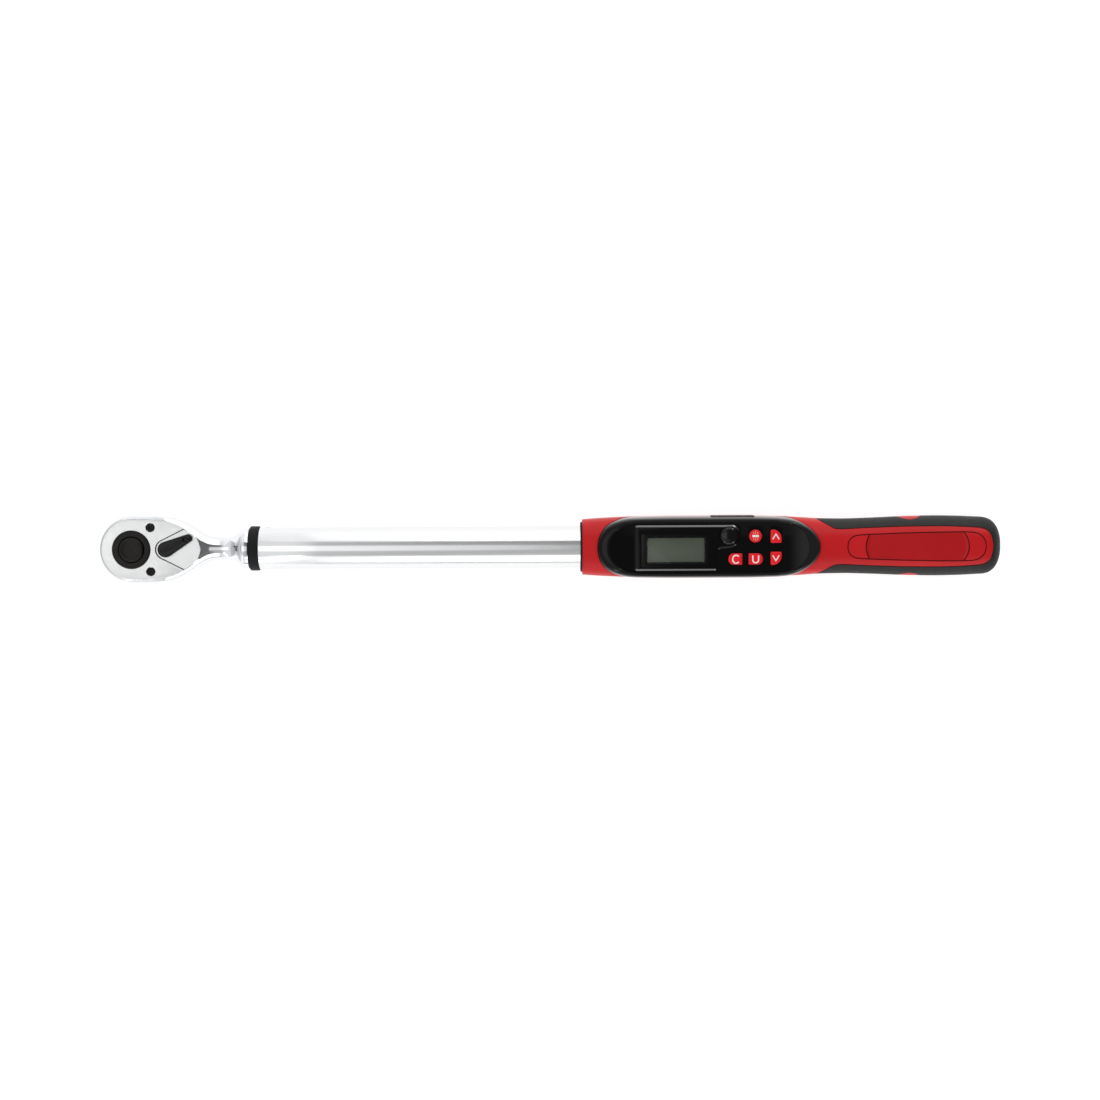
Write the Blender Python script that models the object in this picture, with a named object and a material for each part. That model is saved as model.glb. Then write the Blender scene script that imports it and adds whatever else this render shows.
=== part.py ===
"""Digital torque wrench, half-inch square drive, as an assembly of separate solids.

Frame: the origin is the centre of the drive square's end face. +X runs along the tube towards the grip, +Y is the side
that carries the data port, +Z points up out of the display. The builder functions take millimetres, with heights
measured from the tube's centreline, and place() turns them into metres above the end of the drive square.
"""

import math

import bmesh
import bpy
from mathutils import Matrix, Vector

# ------------------------------------------------------------------ driving dimensions, mm
AXIS_H = 28.5  # tube centreline above the end of the drive square
SQUARE = 12.7  # half-inch square drive, across flats
SQUARE_TOP = -13.0  # where the square meets the gear's lower collar
HEAD_R = 20.5  # round end of the ratchet head
HEAD_T = 12.0  # half thickness of the head over its flat faces
COVER_T = 2.7  # thickness of the head's cover plate
POCKET_Z = HEAD_T - COVER_T - 0.3  # floor of the pocket that holds the cover plate
CHAMBER_R = 14.6
TEETH = 36
TIP_R, ROOT_R = 14.2, 13.1
HUB_R = 11.3
LEVER_X = 20.3  # reversing spindle's axis
LEVER_REST = 26.2  # degrees, towards +Y
PAWL_REST = -4.7  # degrees
BUTTON_R, STEM_R = 7.3, 2.4
BUTTON_TRAVEL = 2.5
BALL_R, BALL_X, BALL_TRAVEL = 2.2, 4.95, 1.1
BALL_Z = SQUARE_TOP - 7.75
SCREW_X, SCREW_Y = 11.4, 13.1
TUBE_R, TUBE_WALL = 12.8, 2.2
TUBE_X0, TUBE_X1 = 75.2, 502.0
BORE_R = 13.1  # bore of the housing around the tube
NOSE_X, END_X = 268.3, 518.7
RUBBER_T = 1.5
SPLIT = 0.15  # half of the gap between the upper and the lower shell
GAP = 0.3  # clearance between pieces that touch
PANEL_Z = 20.8  # flat top of the display bezel
DOOR_X0, DOOR_X1, DOOR_Y = 447.0, 499.5, 10.4

for old in list(bpy.data.objects):
    bpy.data.objects.remove(old, do_unlink=True)


# ------------------------------------------------------------------ materials
def material(name, rgb, roughness, metallic=0.0):
    made = bpy.data.materials.new(name)
    made.use_nodes = True
    shader = made.node_tree.nodes["Principled BSDF"]
    shader.inputs["Base Color"].default_value = (*rgb, 1.0)
    shader.inputs["Roughness"].default_value = roughness
    shader.inputs["Metallic"].default_value = metallic
    made.diffuse_color = (*rgb, 1.0)
    return made


CHROME = material("polished_chrome", (0.86, 0.87, 0.88), 0.12, 1.0)
SATIN = material("satin_chrome", (0.74, 0.75, 0.75), 0.35, 1.0)
BLACK_STEEL = material("black_steel", (0.035, 0.032, 0.03), 0.5, 1.0)
STEEL = material("spring_steel", (0.55, 0.55, 0.56), 0.3, 1.0)
RED = material("red_plastic", (0.62, 0.02, 0.03), 0.42)
BLACK_GLOSS = material("black_bezel", (0.008, 0.008, 0.008), 0.18)
RUBBER = material("black_rubber", (0.022, 0.022, 0.022), 0.75)
KEY_RED = material("key_red", (0.75, 0.01, 0.02), 0.35)
WINDOW = material("clear_window", (0.02, 0.02, 0.02), 0.05)
LCD = material("lcd_glass", (0.1, 0.12, 0.09), 0.25)
SMOKE = material("smoked_lens", (0.012, 0.012, 0.012), 0.08)
BOARD = material("circuit_board", (0.02, 0.12, 0.05), 0.45)
WHITE = material("white_plastic", (0.8, 0.8, 0.78), 0.5)
SILICONE = material("grey_silicone", (0.2, 0.2, 0.2), 0.7)
NICKEL = material("nickel_plate", (0.7, 0.68, 0.62), 0.25, 1.0)
CELL = material("cell_sleeve", (0.05, 0.06, 0.09), 0.35)
FOIL = material("gauge_foil", (0.6, 0.35, 0.12), 0.4, 0.5)
LEAD = material("lead_sleeve", (0.03, 0.03, 0.03), 0.5)


# ------------------------------------------------------------------ building helpers
def place(point):
    x, y, z = point
    return Vector((x, y, z + AXIS_H)) * 0.001


def finish(bm, name, mat, origin=None, rotation=0.0, smooth=35.0):
    """A new object from bm, whose points are in metres. With an origin, the mesh is moved so that the object's own
    origin lies there. rotation, in degrees about Z, then turns the object about it."""
    bmesh.ops.remove_doubles(bm, verts=bm.verts, dist=2e-6)
    bmesh.ops.recalc_face_normals(bm, faces=bm.faces)
    mesh = bpy.data.meshes.new(name)
    bm.to_mesh(mesh)
    bm.free()
    made = bpy.data.objects.new(name, mesh)
    bpy.context.scene.collection.objects.link(made)
    if origin is not None:
        at = place(origin)
        mesh.transform(Matrix.Translation(-at))
        made.location = at
        made.rotation_euler.z = math.radians(rotation)
    mesh.materials.append(mat)
    mesh.shade_smooth()
    mesh.set_sharp_from_angle(angle=math.radians(smooth))
    return made


def skin(rings, caps=True, closed=False):
    """bmesh through rings of points in millimetres, each ring a closed loop with the same number of points."""
    bm = bmesh.new()
    rows = [[bm.verts.new(place(p)) for p in ring] for ring in rings]
    count = len(rows[0])
    pairs = list(zip(rows, rows[1:]))
    if closed:
        pairs.append((rows[-1], rows[0]))
    for a, b in pairs:
        for k in range(count):
            n = (k + 1) % count
            quad = [a[k], a[n], b[n], b[k]]
            if len({tuple(round(c, 7) for c in v.co) for v in quad}) > 2:
                bm.faces.new(quad)
    if caps and not closed:
        bm.faces.new(rows[0])
        bm.faces.new(rows[-1])
    return bm


def lathe(profile, centre=(0, 0, 0), axis="Z", steps=32):
    """Surface of revolution of (radius, height) points. It is closed by the axis where the profile ends on it, and is
    otherwise a ring whose profile closes on itself."""
    bm = bmesh.new()
    cx, cy, cz = centre
    on_axis = profile[0][0] == 0 and profile[-1][0] == 0

    def point(r, h, a):
        u, v = r * math.cos(a), r * math.sin(a)
        return {"Z": (cx + u, cy + v, cz + h), "X": (cx + h, cy + u, cz + v), "Y": (cx + u, cy + h, cz + v)}[axis]

    rows = []
    for r, h in profile:
        if r == 0:
            rows.append([bm.verts.new(place(point(0, h, 0)))] * steps)
        else:
            rows.append([bm.verts.new(place(point(r, h, 2 * math.pi * k / steps))) for k in range(steps)])
    pairs = list(zip(rows, rows[1:]))
    if not on_axis:
        pairs.append((rows[-1], rows[0]))
    for a, b in pairs:
        for k in range(steps):
            n = (k + 1) % steps
            corners = []
            for v in (a[k], a[n], b[n], b[k]):
                if v not in corners:
                    corners.append(v)
            if len(corners) > 2:
                bm.faces.new(corners)
    return bm


def rod(r, h0, h1, centre=(0, 0, 0), axis="Z", steps=24, chamfer=0.0):
    """Solid cylinder from h0 to h1 along an axis through centre."""
    if chamfer:
        profile = [(0, h0), (r - chamfer, h0), (r, h0 + chamfer), (r, h1 - chamfer), (r - chamfer, h1), (0, h1)]
    else:
        profile = [(0, h0), (r, h0), (r, h1), (0, h1)]
    return lathe(profile, centre, axis, steps)


def prism(outline, low, high, axis="Z", bevel=0.0):
    """Outline of (u, v) points extruded from low to high. u, v are X, Y for axis Z, X, Z for axis Y and Y, Z for axis X.
    A bevel insets the end at high."""

    def at(u, v, w):
        return {"Z": (u, v, w), "Y": (u, w, v), "X": (w, u, v)}[axis]

    levels = [(outline, low), (outline, high - bevel if bevel else high)]
    if bevel:
        levels.append((offset(outline, -bevel), high))
    return skin([[at(u, v, w) for u, v in loop] for loop, w in levels])


def box(lo, hi):
    return prism([(lo[0], lo[1]), (hi[0], lo[1]), (hi[0], hi[1]), (lo[0], hi[1])], lo[2], hi[2])


def offset(outline, distance):
    """The outline with each corner moved out by distance, or in where it is negative."""
    n = len(outline)
    area = sum(outline[k][0] * outline[(k + 1) % n][1] - outline[(k + 1) % n][0] * outline[k][1] for k in range(n))
    sign = 1.0 if area > 0 else -1.0
    moved = []
    for k in range(n):
        p, q, r = Vector(outline[k - 1]), Vector(outline[k]), Vector(outline[(k + 1) % n])
        d0, d1 = (q - p).normalized(), (r - q).normalized()
        n0, n1 = Vector((d0.y, -d0.x)) * sign, Vector((d1.y, -d1.x)) * sign
        mid = (n0 + n1).normalized()
        moved.append(tuple(q + mid * (distance / max(0.35, mid.dot(n0)))))
    return moved


def rounded_box(x0, x1, y0, y1, r, steps=4):
    """Outline of a rectangle with round corners."""
    made = []
    for cx, cy, a0 in ((x1 - r, y1 - r, 0), (x0 + r, y1 - r, 90), (x0 + r, y0 + r, 180), (x1 - r, y0 + r, 270)):
        for k in range(steps + 1):
            a = math.radians(a0 + 90 * k / steps)
            made.append((cx + r * math.cos(a), cy + r * math.sin(a)))
    return made


def sweep(points, radius, sides=8):
    """Round bar along points in millimetres, with flat ends."""
    path = [Vector(p) for p in points]
    rings = []
    up = None
    for k, p in enumerate(path):
        d = (path[min(k + 1, len(path) - 1)] - path[max(k - 1, 0)]).normalized()
        if up is None:
            up = d.orthogonal().normalized()
        up = (up - d * up.dot(d)).normalized()
        side = d.cross(up)
        rings.append(
            [p + (up * math.cos(2 * math.pi * j / sides) + side * math.sin(2 * math.pi * j / sides)) * radius for j in range(sides)]
        )
    return skin(rings)


def helix(centre, axis, r0, r1, length, turns, per_turn=12):
    """Points of a coil that starts at centre, runs length along an axis and goes from radius r0 to r1."""
    total = int(turns * per_turn)
    made = []
    for k in range(total + 1):
        t = k / total
        a = 2 * math.pi * turns * t
        r = r0 + (r1 - r0) * t
        u, v, h = r * math.cos(a), r * math.sin(a), length * t
        x, y, z = {"Z": (u, v, h), "X": (h, u, v)}[axis]
        made.append((centre[0] + x, centre[1] + y, centre[2] + z))
    return made


def smooth_path(points, per_span=6):
    """Catmull-Rom curve through the points."""
    pts = [Vector(p) for p in points]
    pts = [2 * pts[0] - pts[1], *pts, 2 * pts[-1] - pts[-2]]
    made = []
    for k in range(1, len(pts) - 2):
        a, b, c, d = pts[k - 1 : k + 3]
        for j in range(per_span):
            t = j / per_span
            made.append(0.5 * (2 * b + (c - a) * t + (2 * a - 5 * b + 4 * c - d) * t**2 + (3 * b - a - 3 * c + d) * t**3))
    made.append(pts[-2])
    return made


def table(rows):
    """Smooth function through (x, value) rows."""
    xs, vs = [r[0] for r in rows], [r[1] for r in rows]
    n = len(xs)
    secants = [(vs[k + 1] - vs[k]) / (xs[k + 1] - xs[k]) for k in range(n - 1)]
    slopes = [secants[0]]
    for k in range(1, n - 1):
        a, b = secants[k - 1], secants[k]
        slopes.append(0.0 if a * b <= 0 else 2 * a * b / (a + b))
    slopes.append(secants[-1])

    def value(x):
        if x <= xs[0]:
            return vs[0]
        if x >= xs[-1]:
            return vs[-1]
        k = max(j for j in range(n) if xs[j] <= x)
        h = xs[k + 1] - xs[k]
        t = (x - xs[k]) / h
        return (
            vs[k] * (2 * t**3 - 3 * t**2 + 1)
            + slopes[k] * h * (t**3 - 2 * t**2 + t)
            + vs[k + 1] * (-2 * t**3 + 3 * t**2)
            + slopes[k + 1] * h * (t**3 - t**2)
        )

    return value


def helper(bm):
    made = finish(bm, "cutter", STEEL)
    made.hide_render = True
    made.display_type = "WIRE"
    return made


def combine(target, shape, operation="DIFFERENCE"):
    """Boolean of target with a throw-away solid, applied at once."""
    other = shape if isinstance(shape, bpy.types.Object) else helper(shape)
    modifier = target.modifiers.new("boolean", "BOOLEAN")
    modifier.operation = operation
    modifier.solver = "EXACT"
    modifier.object = other
    graph = bpy.context.evaluated_depsgraph_get()
    made = bpy.data.meshes.new_from_object(target.evaluated_get(graph))
    bm = bmesh.new()
    bm.from_mesh(made)
    bmesh.ops.remove_doubles(bm, verts=bm.verts, dist=2e-6)
    bmesh.ops.dissolve_degenerate(bm, edges=bm.edges, dist=1e-6)
    bm.to_mesh(made)
    bm.free()
    target.modifiers.clear()
    old, target.data = target.data, made
    bpy.data.meshes.remove(old)
    bpy.data.objects.remove(other, do_unlink=True)
    target.data.set_sharp_from_angle(angle=math.radians(35))
    return target


def cut(target, *shapes):
    for bm in shapes:
        combine(target, bm, "DIFFERENCE")
    return target


def join(target, *shapes):
    for bm in shapes:
        combine(target, bm, "UNION")
    return target


# ------------------------------------------------------------------ ratchet head
HEAD_W = table([(0, 20.5), (12, 20.5), (18, 20.1), (22, 19.4), (26, 18.4), (30, 17.0), (34, 15.1), (38, 12.6), (42, 9.7), (46, 7.7), (50, 7.0), (54, 6.8), (58, 7.5), (61, 9.1), (63.5, 11.3), (66, 12.2)])
HEAD_H = table([(0, 11.6), (18, 11.6), (22, 11.5), (26, 11.3), (30, 11.0), (34, 10.4), (38, 9.4), (42, 8.4), (46, 7.6), (50, 7.1), (54, 6.9), (58, 7.5), (61, 9.1), (63.5, 11.3), (66, 12.2)])
HEAD_N = table([(0, 6.0), (22, 6.0), (26, 5.0), (30, 4.2), (34, 3.4), (38, 2.8), (42, 2.4), (46, 2.1), (54, 2.0), (66, 2.0)])
FACE_W = table([(0, 17.9), (6, 17.9), (12, 17.7), (17, 17.2), (20.3, 16.7), (22.5, 16.0), (26, 14.6), (29.8, 12.7), (33, 11.0), (35.2, 9.6), (38.1, 6.9), (40.0, 4.0), (41.0, 0.0)])


def face_outline(steps=9):
    """Pear-shaped outline of the head's flat faces."""
    side = [(-17.9 * math.cos(math.radians(90 * k / steps)), 17.9 * math.sin(math.radians(90 * k / steps))) for k in range(steps)]
    side += [(x, FACE_W(x)) for x in (0, 6, 12, 17, 20.3, 22.5, 26, 29.8, 33, 35.2, 38.1, 40.0, 41.0)]
    return side + [(x, -y) for x, y in reversed(side[1:-1])]


def forging():
    """The head's forged skin: a half revolve round the drive axis that runs on into sections across X, down to the neck
    and out again to the flange."""
    stations = []
    fan = 8
    for k in range(fan):
        a = math.pi - (math.pi / 2) * k / fan
        stations.append(((0.0, 0.0), (math.cos(a), math.sin(a)), 20.5, 11.6, 6.0))
    for x in (0, 8, 15, 20, 24, 28, 32, 36, 40, 44, 48, 52, 56, 59, 61.5, 63.7, 66):
        stations.append(((x, 0.0), (0.0, 1.0), HEAD_W(x), HEAD_H(x), HEAD_N(x)))
    bm = bmesh.new()
    arc = 12
    for side in (1.0, -1.0):
        rows = []
        for (sx, sy), (dx, dy), w, h, n in stations:
            row = []
            for j in range(arc + 1):
                a = math.pi / 2 - math.pi * j / arc
                c, s = math.cos(a), math.sin(a)
                out = w * (abs(c) ** (2 / n) if abs(c) > 1e-9 else 0.0)
                z = h * math.copysign(abs(s) ** (2 / n) if abs(s) > 1e-9 else 0.0, s)
                row.append(bm.verts.new(place((sx + dx * out, side * (sy + dy * out), z))))
            rows.append(row)
        for a, b in zip(rows, rows[1:]):
            for j in range(arc):
                quad = [a[j], a[j + 1], b[j + 1], b[j]]
                if len({tuple(round(c, 7) for c in v.co) for v in quad}) > 2:
                    bm.faces.new(quad)
    bmesh.ops.remove_doubles(bm, verts=bm.verts, dist=2e-6)
    bmesh.ops.dissolve_degenerate(bm, edges=bm.edges, dist=1e-6)
    bmesh.ops.holes_fill(bm, edges=[e for e in bm.edges if e.is_boundary])
    return bm


head = finish(forging(), "ratchet_head", CHROME)
join(
    head,
    lathe([(0, 58), (5, 58), (5, 65.2), (12.1, 65.2), (12.55, 65.7), (12.55, 68.9), (12.25, 69.2), (10.3, 69.2), (10.3, 87.5), (9.8, 88), (0, 88)], axis="X", steps=32),
    prism(face_outline(), -HEAD_T, -2.0),
    box((80, -5.5, -6.5), (150, 5.5, 6.5)),
)
pawl_room = [(9.0, -8.6), (13.0, -11.3), (17.5, -11.3), (24.5, -7.0), (27.3, -3.0), (27.3, 3.0), (24.5, 7.0), (17.5, 11.3), (13.0, 11.3), (9.0, 8.6)]
cut(
    head,
    prism(offset(face_outline(), GAP), POCKET_Z, 20.0),
    rod(CHAMBER_R, -8.8, 15.0, steps=48),
    rod(HUB_R + GAP, -20.0, 0.0, steps=40),
    prism(pawl_room, -7.2, 15.0),
    rod(2.5, -9.5, 0.0, (LEVER_X, 0, 0), steps=16),
    rod(1.8, 1.2, 15.0, (SCREW_X, SCREW_Y, 0), steps=16),
    rod(1.8, 1.2, 15.0, (SCREW_X, -SCREW_Y, 0), steps=16),
    rod(2.3, -15.0, 15.0, (80.5, 0, 0), "Y", steps=16),
)

fan_pocket = [(LEVER_X - 5.4 * math.cos(math.radians(a)), 5.4 * math.sin(math.radians(a))) for a in range(60, -61, -20)]
fan_pocket = [(LEVER_X + 21, 15.8), (LEVER_X + 9.9, 11.0), *fan_pocket, (LEVER_X + 9.9, -11.0), (LEVER_X + 21, -15.8)]
cover = finish(prism(face_outline(), POCKET_Z + GAP, HEAD_T, bevel=0.3), "head_cover_plate", SATIN)
cut(
    cover,
    rod(HUB_R + GAP, 0.0, 20.0, steps=40),
    prism(fan_pocket, HEAD_T - 1.2, 20.0),
    rod(3.55, 0.0, 20.0, (LEVER_X, 0, 0), steps=20),
    lathe([(0, 0), (1.8, 0), (1.8, 10.2), (3.2, 10.2), (3.2, 20), (0, 20)], (SCREW_X, SCREW_Y, 0), steps=20),
    lathe([(0, 0), (1.8, 0), (1.8, 10.2), (3.2, 10.2), (3.2, 20), (0, 20)], (SCREW_X, -SCREW_Y, 0), steps=20),
)


def screw(name, at, head_r, head_h, shank_r, length, up=True, drive_r=1.2, mat=BLACK_STEEL):
    """Cap screw with a round head and a hexagon recess. Its head's top is at at, and the shank runs down from it, or up
    where up is False."""
    s = -1.0 if up else 1.0
    profile = [(0, 0), (head_r - 0.35, 0), (head_r, s * 0.35), (head_r, s * head_h), (shank_r, s * head_h), (shank_r, s * length), (0, s * length)]
    made = finish(lathe(profile, at, "Z", 12), name, mat)
    hexagon = [(at[0] + drive_r * math.cos(math.radians(60 * k)), at[1] + drive_r * math.sin(math.radians(60 * k))) for k in range(6)]
    lo, hi = sorted((at[2] - s * 1.0, at[2] + s * head_h * 0.6))
    return cut(made, prism(hexagon, lo, hi))


screw("cover_screw_1", (SCREW_X, SCREW_Y, HEAD_T - 0.1), 2.9, 1.4, 1.5, 9.5)
screw("cover_screw_2", (SCREW_X, -SCREW_Y, HEAD_T - 0.1), 2.9, 1.4, 1.5, 9.5)


# ------------------------------------------------------------------ drive gear, quick release and ball
def gear_radius(phase):
    """Radius of the toothed rim at a phase of 0 to 1 across one tooth, with the tip at 0.5."""
    t = abs(2 * (phase % 1.0) - 1)
    rise = min(1.0, max(0.0, (1 - t - 0.12) / 0.76))
    return ROOT_R + (TIP_R - ROOT_R) * rise


gear_rim = []
for k in range(TEETH):
    for phase in (0.06, 0.44, 0.56, 0.94):
        a = 2 * math.pi * (k + phase) / TEETH
        gear_rim.append((gear_radius(phase) * math.cos(a), gear_radius(phase) * math.sin(a)))
gear = finish(prism(gear_rim, -8.5, 8.6), "drive_gear", BLACK_STEEL)
s = SQUARE / 2
square = [(s, -s + 1), (s, s - 1), (s - 1, s), (-s + 1, s), (-s, s - 1), (-s, -s + 1), (-s + 1, -s), (s - 1, -s)]
tip = [(math.copysign(s - 0.8, u), math.copysign(s - 0.8, v)) for u, v in square]  # four plain corners
square_solid = skin([[(u, v, -AXIS_H) for u, v in tip], [(u, v, -AXIS_H + 0.8) for u, v in square], [(u, v, -9.0) for u, v in square]])
bmesh.ops.remove_doubles(square_solid, verts=square_solid.verts, dist=1e-6)
join(
    gear,
    lathe([(0, -13.0), (HUB_R - 0.4, -13.0), (HUB_R, -12.6), (HUB_R, 12.0), (HUB_R - 0.4, 12.4), (0, 12.4)], steps=40),
    square_solid,
)
cut(
    gear,
    rod(BUTTON_R + 0.35, 6.0, 20.0, steps=32),
    rod(STEM_R + 0.3, BALL_Z - 6.2, 10.0, steps=16),
    rod(BALL_R + 0.2, 0.0, 10.0, (0, 0, BALL_Z), "X", steps=16),
)
rod_profile = [(0, BALL_Z - 3.2), (1.9, BALL_Z - 3.2), (STEM_R, BALL_Z - 2.7), (STEM_R, BALL_Z + 0.15), (1.85, BALL_Z + 1.2), (1.2, BALL_Z + 2.5), (1.85, BALL_Z + 3.8), (STEM_R, BALL_Z + 4.9), (STEM_R, 9.8), (BUTTON_R, 9.8), (BUTTON_R, 12.8), (BUTTON_R - 0.9, 13.6), (0, 13.8)]
finish(lathe(rod_profile, steps=20), "release_button", BLACK_STEEL, origin=(0, 0, 12.8))
finish(sweep(helix((0, 0, 6.55), "Z", 4.6, 4.6, 2.7, 2.0, 12), 0.22, 5), "release_spring", STEEL)
ball = lathe([(BALL_R * math.sin(math.pi * k / 8), -BALL_R * math.cos(math.pi * k / 8)) if 0 < k < 8 else (0, -BALL_R if k == 0 else BALL_R) for k in range(9)], (BALL_X, 0, BALL_Z), steps=14)
finish(ball, "detent_ball", STEEL, origin=(BALL_X, 0, BALL_Z))


# ------------------------------------------------------------------ pawl and reversing lever
def turned(points, degrees, about=(LEVER_X, 0.0)):
    c, sn = math.cos(math.radians(degrees)), math.sin(math.radians(degrees))
    return [(about[0] + (x - about[0]) * c - (y - about[1]) * sn, about[1] + (x - about[0]) * sn + (y - about[1]) * c) for x, y in points]


engaged = []
for k in (-4, -3):
    for phase in (0.06, 0.44, 0.56, 0.94):
        a = math.radians(10 * (k + phase))
        r = gear_radius(phase) + 0.22
        engaged.append((r * math.cos(a), r * math.sin(a)))
lower_face = turned(engaged, -PAWL_REST)
upper_face = [(x, -y) for x, y in reversed(lower_face)]
pawl_outline = [
    (15.3, -10.3),
    *lower_face,
    (15.0, -5.4),
    (15.1, -3.6),
    (15.1, 3.6),
    (15.0, 5.4),
    *upper_face,
    (15.3, 10.3),
    (18.8, 9.2),
    (23.0, 5.4),
    (25.4, 2.2),
    (25.4, -2.2),
    (23.0, -5.4),
    (18.8, -9.2),
]
pawl = finish(prism(pawl_outline, -6.6, 6.6), "pawl", BLACK_STEEL, origin=(LEVER_X, 0, 0), rotation=PAWL_REST)
cut(pawl, rod(3.5, -10.0, 10.0, (LEVER_X, 0, 0), steps=24))


def capsule(r0, r1, length, steps=7):
    """Outline of a tapered bar with round ends, from a circle of r0 at the origin to one of r1 at length along +X."""
    lean = math.degrees(math.asin((r0 - r1) / length))
    made = []
    for k in range(2 * steps + 1):
        a = math.radians(90 - lean + (180 + 2 * lean) * k / (2 * steps))
        made.append((r0 * math.cos(a), r0 * math.sin(a)))
    for k in range(steps + 1):
        a = math.radians(-90 + lean + (180 - 2 * lean) * k / steps)
        made.append((length + r1 * math.cos(a), r1 * math.sin(a)))
    return made


hub_z = HEAD_T - 1.2 + GAP
arm = capsule(4.7, 2.5, 15.0)
rings = [[(LEVER_X + u, v, z) for u, v in offset(arm, -inset)] for inset, z in ((0.0, hub_z), (0.0, hub_z + 1.7), (0.5, hub_z + 2.2))]
lever = finish(skin(rings), "reverse_lever", BLACK_STEEL, origin=(LEVER_X, 0, 0), rotation=LEVER_REST)
lever.rotation_euler.z = 0.0
fin = [(LEVER_X + u, v) for u, v in ((-1.5, -1.0), (14.5, -1.3), (15.6, 0.0), (14.5, 1.3), (-1.5, 1.0))]
join(
    lever,
    prism(fin, hub_z + 1.0, hub_z + 3.7, bevel=0.5),
    lathe([(0, -8.2), (2.1, -8.2), (2.1, -6.9), (3.2, -6.9), (3.2, hub_z + 1.0), (0, hub_z + 1.0)], (LEVER_X, 0, 0), steps=24),
)
cut(lever, rod(1.25, -6.0, 1.6, (LEVER_X, 0, 0), "X", steps=12))
lever.rotation_euler.z = math.radians(LEVER_REST)


def on_lever(bm, name, mat):
    return finish(bm, name, mat, origin=(LEVER_X, 0, 0), rotation=LEVER_REST)


on_lever(lathe([(0, -3.25), (0.6, -3.1), (0.95, -2.6), (0.95, -0.9), (0, -0.9)], (LEVER_X, 0, 0), "X", 12), "pawl_plunger", STEEL)
on_lever(sweep(helix((LEVER_X - 0.65, 0, 0), "X", 0.7, 0.7, 1.9, 2.5, 8), 0.14, 5), "plunger_spring", STEEL)

# ------------------------------------------------------------------ tube, seals and torque sensor
finish(
    lathe([(10.6, 69.5), (12.9, 69.5), (13.35, 70.0), (13.35, 74.5), (13.1, 74.9), (10.6, 74.9)], axis="X", steps=32),
    "tube_collar_ring",
    RUBBER,
)
tube_in = TUBE_R - TUBE_WALL
tube = finish(
    lathe([(tube_in, TUBE_X0), (TUBE_R - 0.3, TUBE_X0), (TUBE_R, TUBE_X0 + 0.3), (TUBE_R, TUBE_X1 - 0.3), (TUBE_R - 0.3, TUBE_X1), (tube_in, TUBE_X1)], axis="X", steps=32),
    "tube",
    CHROME,
)
cut(
    tube,
    rod(2.3, -15.0, 15.0, (80.5, 0, 0), "Y", steps=16),
    box((295.5, -3.0, 5.0), (302.5, 3.0, 20.0)),
    box((384.5, -3.0, 5.0), (391.5, 3.0, 20.0)),
    box((446.0, -20.0, -20.0), (500.5, 20.0, -1.0)),
)
finish(rod(2.0, -12.45, 12.45, (80.5, 0, 0), "Y", 16, 0.4), "head_retaining_pin", STEEL)
bush = finish(lathe([(0, 139), (10.0, 139), (10.3, 139.3), (10.3, 149.7), (10.0, 150), (0, 150)], axis="X", steps=28), "sensor_bush", WHITE)
cut(bush, box((130, -5.8, -6.8), (160, 5.8, 6.8)))
cut(bush, box((130, -1.6, 6.0), (160, 1.6, 8.6)))
finish(box((106, 5.8, -4), (120, 6.05, 4)), "strain_gauge_left", FOIL)
finish(box((106, -6.05, -4), (120, -5.8, 4)), "strain_gauge_right", FOIL)
finish(sweep(smooth_path([(122.0, 0, 7.6), (150, 0, 7.6), (200, 0.6, 7.2), (260, -0.6, 7.4), (286, 0, 7.6), (295, 0, 9.2), (299, 0, 12.2), (299.3, 0, 14.25)], 3), 0.6, 6), "sensor_cable", LEAD)
finish(
    lathe([(13.1, 267.1), (14.6, 267.1), (15.0, 267.5), (15.0, 272.0), (13.1, 272.0)], axis="X", steps=32),
    "front_seal",
    RUBBER,
)

# ------------------------------------------------------------------ housing surfaces
HALF_W = table([(268.3, 16.6), (276, 17.2), (290, 17.9), (305, 18.4), (325, 18.65), (365, 18.65), (383, 18.2), (398, 17.4), (411, 16.6), (425, 16.4), (437, 16.7), (450, 17.2), (465, 17.8), (480, 18.0), (495, 17.7), (507, 17.2), (519, 17.2)])
TOP_H = table([(268.3, 16.3), (290, 16.8), (340, 17.0), (400, 16.7), (425, 16.3), (440, 16.7), (460, 17.4), (480, 17.8), (500, 17.3), (507, 16.9), (519, 16.9)])
LOW_H = table([(268.3, 16.3), (290, 17.0), (340, 17.6), (400, 17.2), (425, 16.9), (440, 17.3), (460, 18.2), (480, 18.6), (500, 18.0), (507, 17.4), (519, 17.4)])
BODY_N = 2.5
ROUND_X = 504.5  # where the grip's end starts to round off


def end_factor(x, inset=0.0):
    if x <= ROUND_X:
        return 1.0
    t = min(1.0, (x - ROUND_X) / (END_X - inset - ROUND_X))
    return max(0.16, math.sqrt(max(0.0, 1 - t**3)))


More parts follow.
